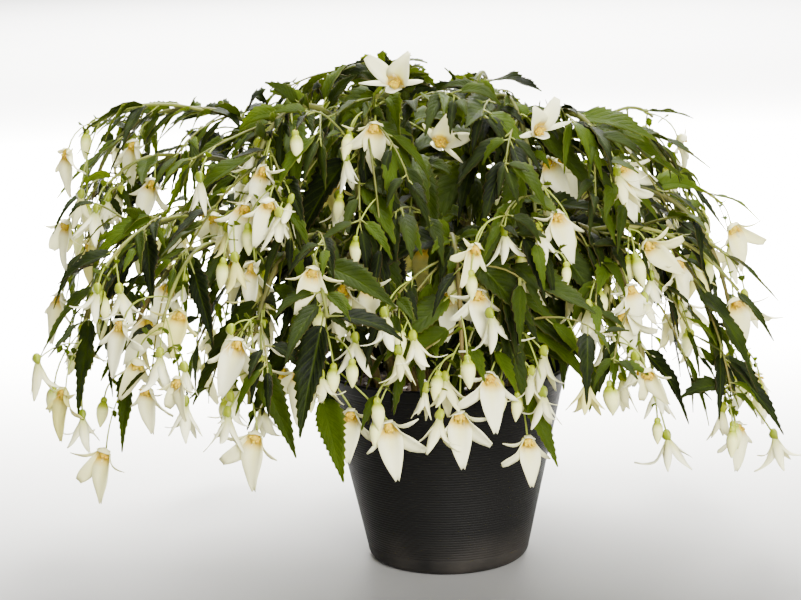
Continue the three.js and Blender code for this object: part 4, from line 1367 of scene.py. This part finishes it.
# A bloom's tepals as they show. Angle round its axis, length, half width and flare as shares of its size,
# where it is widest along it, how full it is past there, the width of its tip, and its cells both ways.
FACE_TEPALS = (
    (0, 1.2, 0.25, 0.38, 0.38, 1.4, 0.14, (9, 4)),
    (70, 0.88, 0.17, 0.66, 0.6, 2.4, 0.45, (8, 4)),
    (112, 0.64, 0.055, 0.95, 0.6, 2.0, 0.2, (7, 2)),
    (-60, 0.72, 0.06, 0.64, 0.7, 2.0, 0.3, (7, 2)),
    (-155, 0.24, 0.16, 0.3, 0.5, 2.5, 0.5, (4, 2)),
)
BELL_TEPALS = (
    (0, 0.92, 0.125, 1.0, 0.45, 1.5, 0.12, (9, 3)),
    (76, 0.8, 0.1, 1.3, 0.5, 1.5, 0.12, (9, 2)),
    (148, 0.9, 0.125, 0.9, 0.45, 1.5, 0.12, (9, 3)),
    (215, 0.8, 0.1, 1.2, 0.5, 1.5, 0.12, (9, 2)),
    (288, 0.86, 0.12, 1.0, 0.45, 1.5, 0.12, (9, 3)),
)
CUP_WIDTH = 4.2
CURLED_TIPS = 0.35
NARROW_TEPAL = 0.08
SLOPE_STEP = 0.02
NOTCH = 0.04
FRESH_BLOOMS = 0.9


def tepal_width(t, widest, fullness, tip):
    """The tepal's half width along it as a share of its widest."""
    if t < widest:
        return 0.5 + 0.5 * math.sin(0.5 * math.pi * t / widest)
    return tip + (1 - tip) * (1 - ((t - widest) / (1 - widest)) ** fullness)


def petal_middle(bloom, tepal, splay, t):
    """Distance from the bloom's axis and along it on a tepal's middle line."""
    if bloom["kind"] == "face":
        radius, along = tepal_middle(bloom, tepal, t)
        return radius + CUP_WIDTH * math.sqrt(min(1.0, t / 0.14)) * (1 - 0.5 * t), along
    out = splay * tepal[3]
    long = bloom["size"] * tepal[1]
    return long * (0.2 * math.sqrt(t) + out * t**1.3), long * t * (1 - 0.4 * out * t)


def lay_tepal(bm, bloom, tepal, splay, tone, chance):
    """Shapes a copy of the sheet into a tepal: cupped at the throat, waved and turned back at its tip."""
    tones = bm.verts.layers.float["tone"]
    angle, _, half_share, _, widest, fullness, tip, cells = tepal
    narrow = half_share < NARROW_TEPAL
    turn = math.radians(tepal_angle(bloom, angle))
    aside = cross(bloom["axis"], bloom["drop"])
    way = add(scaled(bloom["drop"], math.cos(turn)), aside, math.sin(turn))
    across = add(scaled(bloom["drop"], -math.sin(turn)), aside, math.cos(turn))
    curl = chance.uniform(-0.05, 0.2) + (0.15 if narrow else 0.0)
    if bloom["kind"] == "bell" and chance.random() < CURLED_TIPS:
        curl = chance.uniform(0.6, 1.3)
    twist = chance.uniform(-0.3, 0.3) * (1.6 if narrow else 0.7)
    phase = chance.uniform(0, 6.28)
    bend = chance.uniform(-0.1, 0.1)
    for vertex in copy_in(bm, petal_sheets[cells]):
        t, v = vertex.co.x + 0.5, vertex.co.y * 2
        radius, along = petal_middle(bloom, tepal, splay, t)
        ahead_r, ahead_a = petal_middle(bloom, tepal, splay, min(1.0, t + SLOPE_STEP))
        back_r, back_a = petal_middle(bloom, tepal, splay, max(0.0, t - SLOPE_STEP))
        slope = math.hypot(ahead_r - back_r, ahead_a - back_a)
        out_r, out_a = (ahead_a - back_a) / slope, -(ahead_r - back_r) / slope
        half = bloom["size"] * half_share * tepal_width(t, widest, fullness, tip)
        notch = NOTCH * bloom["size"] * max(0.0, t - 0.85) / 0.15 * (1 - abs(v)) * (angle == 0)
        cup = half * (0.8 * (1 - t) ** 2 + 0.14) * v * v
        wave = half * 0.16 * v * v * math.sin(9 * t + phase + v) * t
        back = bloom["size"] * curl * max(0.0, t - 0.55) ** 2 * 1.6
        flat = v * half * math.cos(twist * t)
        tilt = v * half * math.sin(twist * t)
        r = radius + out_r * (back + tilt - cup - wave) - notch * 0.4
        a = along + out_a * (back + tilt - cup - wave) - notch
        place = add(bloom["base"], way, r)
        place = add(add(place, bloom["axis"], a), across, flat + bend * bloom["size"] * t * t)
        vertex.co = scaled(place, MM)
        vertex[tones] = tone


def petal_material(name, throat_share, lime_share, glow_share):
    material, tree, shader, through = thin_material(name, (1, 1, 1, 1), glow_share)
    tone = node(tree, "Attribute", attribute_name="tone").outputs["Fac"]
    place = node(tree, "TexCoord").outputs["Object"]
    uv = node(tree, "TexCoord").outputs["UV"]
    split = node(tree, "SeparateXYZ", {0: uv})
    u = split.outputs["X"]
    middle = calc(tree, "ABSOLUTE", calc(tree, "SUBTRACT", split.outputs["Y"], 0.5))
    stretched = node(tree, "Mapping", {"Vector": uv, "Scale": (1.5, 26.0, 1.0)}).outputs[0]
    lines = soft_noise(tree, stretched, 1.6, 3.0)
    mottle = soft_noise(tree, place, 70.0, 4.0)
    white = blend(tree, mottle, (0.88, 0.865, 0.55, 1), (0.97, 0.965, 0.72, 1))
    lined = blend(tree, span(tree, lines, 0.5, 0.75, 0.0, 0.3), white, (0.78, 0.79, 0.43, 1))
    aged = blend(tree, span(tree, tone, 0.2, 1.0), lined, (0.74, 0.7, 0.22, 1))
    inner_share = span(tree, calc(tree, "ADD", u, middle), 0.7, 0.1, 0.0, 0.8)
    cream = blend(tree, inner_share, aged, (0.86, 0.82, 0.27, 1))
    spot = calc(tree, "ADD", u, calc(tree, "MULTIPLY", lines, 0.1))
    near_throat = calc(tree, "MULTIPLY", span(tree, spot, 0.36, 0.2), span(tree, spot, 0.06, 0.16))
    golden = blend(tree, calc(tree, "MULTIPLY", near_throat, throat_share), cream, (0.68, 0.46, 0.0, 1))
    coloured = blend(tree, span(tree, u, 0.36, 0.0, 0.0, lime_share), golden, (0.4, 0.46, 0.01, 1))
    tree.links.new(coloured, shader.inputs["Base Color"])
    tree.links.new(coloured, through.inputs["Color"])
    tree.links.new(span(tree, lines, 0.3, 0.7, 0.42, 0.58), shader.inputs["Roughness"])
    shader.inputs["Specular IOR Level"].default_value = 0.25
    shader.inputs["Sheen Weight"].default_value = 0.04
    roughen(tree, shader, lines, 0.35, 0.0004)
    return material


petal_face = petal_material("petal_face", throat_share=0.95, lime_share=0.0, glow_share=0.34)
petal_back = petal_material("petal_back", throat_share=0.0, lime_share=0.7, glow_share=0.34)

petal_sheets = {tepal[-1]: sheet_template(tepal[-1]) for tepal in FACE_TEPALS + BELL_TEPALS}
petal_chance = random.Random(PETAL_SEED)
for grown in plant:
    bm = new_plant_bmesh()
    for bloom in grown["blooms"]:
        tone = petal_chance.uniform(0, 0.6) if petal_chance.random() < FRESH_BLOOMS else 1.0
        splay = petal_chance.uniform(0.06, 0.42)
        for tepal in {"face": FACE_TEPALS, "bell": BELL_TEPALS, "bud": ()}[bloom["kind"]]:
            lay_tepal(bm, bloom, tepal, splay, tone, petal_chance)
    name = f"petals_{grown['name']}"
    petals = finish_piece(name, bm, [petal_face, petal_back], f"leafy_stem_{grown['name']}")
    thicken(petals, PETAL_SHEET)


# Hearts and buds
# At the throat of each open bloom sits a tuft of yellow stamens. A bell hangs under its ovary, a lime green
# bulb with three wings. Buds are pale teardrops, green at the top. All grew in one with their stem.
STAMENS = 14
STIGMAS = 4
HEART_SEED = 21


def ball_template(rings, sides):
    bm = bmesh.new()
    bmesh.ops.create_uvsphere(bm, u_segments=sides, v_segments=rings, radius=1.0)
    return mesh_of(bm, "ball")


def ball_radius(z):
    """Radius of the unit ball at a height."""
    return math.sqrt(max(0.0, 1 - z * z))


def ovary_shape(z, turned):
    """The bulb over a bell, with its three wings."""
    wing = (2.0 + 2.6 * max(0.0, math.cos(turned))) * max(0.0, math.cos(3 * turned)) ** 3
    return OVARY_LENGTH * (0.52 * z - 0.2), (2.9 + wing * (0.55 + 0.45 * z)) * ball_radius(z) + 0.4


def throat_shape(z, turned):
    """The knob at the throat of an open bloom."""
    return 5.0 + 4.0 * z, (3.2 + 0.9 * math.cos(turned) ** 2) * ball_radius(z)


def anther_shape(z, _):
    return 2.1 * z, 1.4 * ball_radius(z)


def lay_ball(bm, template, at, way, shape, tone):
    """Shapes a copy of the ball along a way. The shape gives its length at a height and its radii there."""
    tones = bm.verts.layers.float["tone"]
    a = square((0.3, -0.9, 0.2), way)
    b = cross(way, a)
    for vertex in copy_in(bm, template):
        x, y, z = vertex.co
        along, reach = shape(z, math.atan2(y, x))
        around = math.hypot(x, y)
        side = (x / around, y / around) if around > 1e-6 else (0.0, 0.0)
        place = add(add(add(at, way, along), a, side[0] * reach), b, side[1] * reach)
        vertex.co = scaled(place, MM)
        vertex[tones] = tone


heart, tree, shader = new_material("heart_green")
place = node(tree, "TexCoord").outputs["Object"]
tone = node(tree, "Attribute", attribute_name="tone").outputs["Fac"]
mottle = soft_noise(tree, place, 160.0, 4.0)
ramp = node(tree, "ValToRGB", {"Fac": tone})
stops = ramp.color_ramp.elements
stops[0].position, stops[0].color = 0.0, (0.11, 0.16, 0.0, 1)
stops[1].position, stops[1].color = 1.0, (0.44, 0.23, 0.0, 1)
stops.new(0.33).color = (0.28, 0.33, 0.002, 1)
stops.new(0.6).color = (0.82, 0.82, 0.34, 1)
stops.new(0.8).color = (0.56, 0.4, 0.0, 1)
coloured = blend(tree, span(tree, mottle, 0.35, 0.7, 0.0, 0.18), ramp.outputs["Color"], (0.5, 0.5, 0.06, 1))
tree.links.new(coloured, shader.inputs["Base Color"])
tree.links.new(span(tree, mottle, 0.3, 0.7, 0.36, 0.5), shader.inputs["Roughness"])
shader.inputs["Specular IOR Level"].default_value = 0.25
shader.inputs["Subsurface Weight"].default_value = 0.1
shader.inputs["Subsurface Scale"].default_value = 0.003
roughen(tree, shader, mottle, 0.25, 0.0004)

bulb = ball_template(8, 12)
drop_ball = ball_template(10, 10)
knob = ball_template(5, 8)
anther = ball_template(3, 5)
heart_chance = random.Random(HEART_SEED)
for grown in plant:
    bm = new_plant_bmesh()
    tones = bm.verts.layers.float["tone"]
    for bloom in grown["blooms"]:
        size, axis = bloom["size"], bloom["axis"]
        if bloom["kind"] == "bud":
            lime = heart_chance.uniform(0.1, 0.3)
            cap_shape = lambda z, _: (size * (0.08 + 0.16 * z), 2.7 * ball_radius(z) + 0.4)
            lay_ball(bm, knob, bloom["base"], axis, cap_shape, lime)
            wide = size * heart_chance.uniform(0.23, 0.28)

            def bud_shape(z, turned):
                share = 0.5 + 0.5 * z
                flattened = wide * (1 + 0.13 * math.cos(2 * turned))
                return size * (0.08 + 1.08 * share), flattened * math.sin(math.pi * share**0.7) ** 0.85 + 0.2

            start = len(bm.verts)
            lay_ball(bm, drop_ball, bloom["base"], axis, bud_shape, 0.5)
            bm.verts.ensure_lookup_table()
            for i in range(start, len(bm.verts)):
                height = dot(add(scaled(bm.verts[i].co, 1000), bloom["base"], -1), axis) / size
                bm.verts[i][tones] = lime + (0.58 - lime) * min(1.0, max(0.0, height - 0.1) * 2.6)
            continue
        if bloom["kind"] == "bell":
            lay_ball(bm, bulb, bloom["base"], axis, ovary_shape, heart_chance.uniform(0.0, 0.28))
        else:
            lay_ball(bm, knob, bloom["base"], axis, throat_shape, 0.9)
        aside = cross(axis, bloom["drop"])
        count, near, wide = (STAMENS, 4.5, 3.2) if bloom["kind"] == "face" else (STIGMAS, 8.0, 1.6)
        for k in range(count):
            at = add(bloom["base"], axis, heart_chance.uniform(near, near + 4.5))
            at = add(at, bloom["drop"], heart_chance.uniform(-0.7 * wide, 0.85 * wide))
            at = add(at, aside, heart_chance.uniform(-wide, wide))
            lean = unit(add(at, bloom["base"], -1))
            lay_ball(bm, anther, at, lean, anther_shape, heart_chance.uniform(0.8, 1.0))
    finish_piece(f"hearts_{grown['name']}", bm, [heart], f"leafy_stem_{grown['name']}")


# Studio
# A pale floor that runs far back, with painted shade: a deep grey band in its paint in front of the pot,
# fading to pale behind it and to mid grey towards the camera. Soft light from above and behind that makes the
# leaves glow, and a weaker front fill. The camera stands where the photograph was taken from.
FLOOR_REACH = 14.0
floor_bm = bmesh.new()
bmesh.ops.create_grid(floor_bm, x_segments=8, y_segments=8, size=FLOOR_REACH)
floor_mesh = mesh_of(floor_bm, "floor")
floor_paint_with_painted_shade, tree, shader = new_material("floor_paint_with_painted_shade")
place = node(tree, "TexCoord").outputs["Object"]
cloud = soft_noise(tree, place, 1.5, 3.0)
depth = node(tree, "SeparateXYZ", {0: place}).outputs["Y"]
# Painted shade: the paint is deep grey from 0.2 m to 0.7 m in front of the pot's axis, and grades to pale 0.7
# m behind it and to mid grey 1.8 m in front of it
out_of_painted_shade = calc(tree, "MAXIMUM", span(tree, depth, -0.2, 0.7), span(tree, depth, -0.7, -1.8, 0.0, 0.5))
paint_with_painted_shade = blend(tree, out_of_painted_shade, (0.11, 0.108, 0.103, 1), (0.84, 0.835, 0.825, 1))
clouded = blend(tree, span(tree, cloud, 0.3, 0.7, 0.0, 0.08), paint_with_painted_shade, (0.6, 0.59, 0.58, 1))
tree.links.new(clouded, shader.inputs["Base Color"])
shader.inputs["Roughness"].default_value = 0.6
shader.inputs["Specular IOR Level"].default_value = 0.2
floor_mesh.materials.append(floor_paint_with_painted_shade)
floor = new_object("floor", floor_mesh)

world = bpy.data.worlds.new("studio")
bpy.context.scene.world = world
world.use_nodes = True
sky = world.node_tree.nodes["Background"]
sky.inputs["Color"].default_value = (1.0, 0.985, 0.965, 1)
sky.inputs["Strength"].default_value = 0.4


def soft_light(name, place, aim, size, power, colour, spread=180):
    """A rectangle of light, in watts, that the camera doesn't see."""
    data = bpy.data.lights.new(name, "AREA")
    data.shape = "RECTANGLE"
    data.size, data.size_y = size
    data.energy = power
    data.color = colour
    data.spread = math.radians(spread)
    light = new_object(name, data)
    light.visible_camera = False
    light.location = place
    light.rotation_euler = (Vector(aim) - Vector(place)).to_track_quat("-Z", "Y").to_euler()


soft_light("top_window", (0.05, 0.3, 2.0), (0.0, 0.2, 0.0), (0.6, 0.6), 145, (1.0, 0.99, 0.95))
soft_light("back_window", (0.2, 1.5, 1.6), (0.0, 0.1, 0.25), (1.4, 0.8), 90, (1.0, 0.99, 0.95))
soft_light("floor_wash", (0.0, 1.9, 1.3), (0.0, 1.9, 0.0), (3.0, 1.2), 800, (1.0, 0.995, 0.97), 120)
soft_light("back_pool", (0.0, 5.5, 3.2), (0.0, 5.5, 0.0), (5.0, 5.0), 1300, (1.0, 0.995, 0.98), 120)
soft_light("front_fill", (0.8, -2.3, 0.95), (-0.03, 0.0, 0.25), (1.2, 1.0), 185, (1.0, 0.99, 0.97))
soft_light("front_pool", (0.0, -5.5, 3.2), (0.0, -5.5, 0.0), (5.0, 5.0), 900, (1.0, 0.995, 0.98), 120)

CAMERA_PLACE = Vector((-0.037, -1.8, 0.60))
CAMERA_AIM = Vector((-0.037, 0.0, 0.228))
CAMERA_LENS = 95.7
CAMERA_SENSOR = 36
CAMERA_ROLL = math.radians(1.5)
camera_data = bpy.data.cameras.new("camera")
camera_data.lens = CAMERA_LENS
camera_data.sensor_width = CAMERA_SENSOR
camera_data.clip_end = 60
camera = new_object("camera", camera_data)
facing = (CAMERA_AIM - CAMERA_PLACE).to_track_quat("-Z", "Y").to_matrix()
camera.location = CAMERA_PLACE
camera.rotation_euler = (facing @ Matrix.Rotation(-CAMERA_ROLL, 3, "Z")).to_euler()
bpy.context.scene.camera = camera
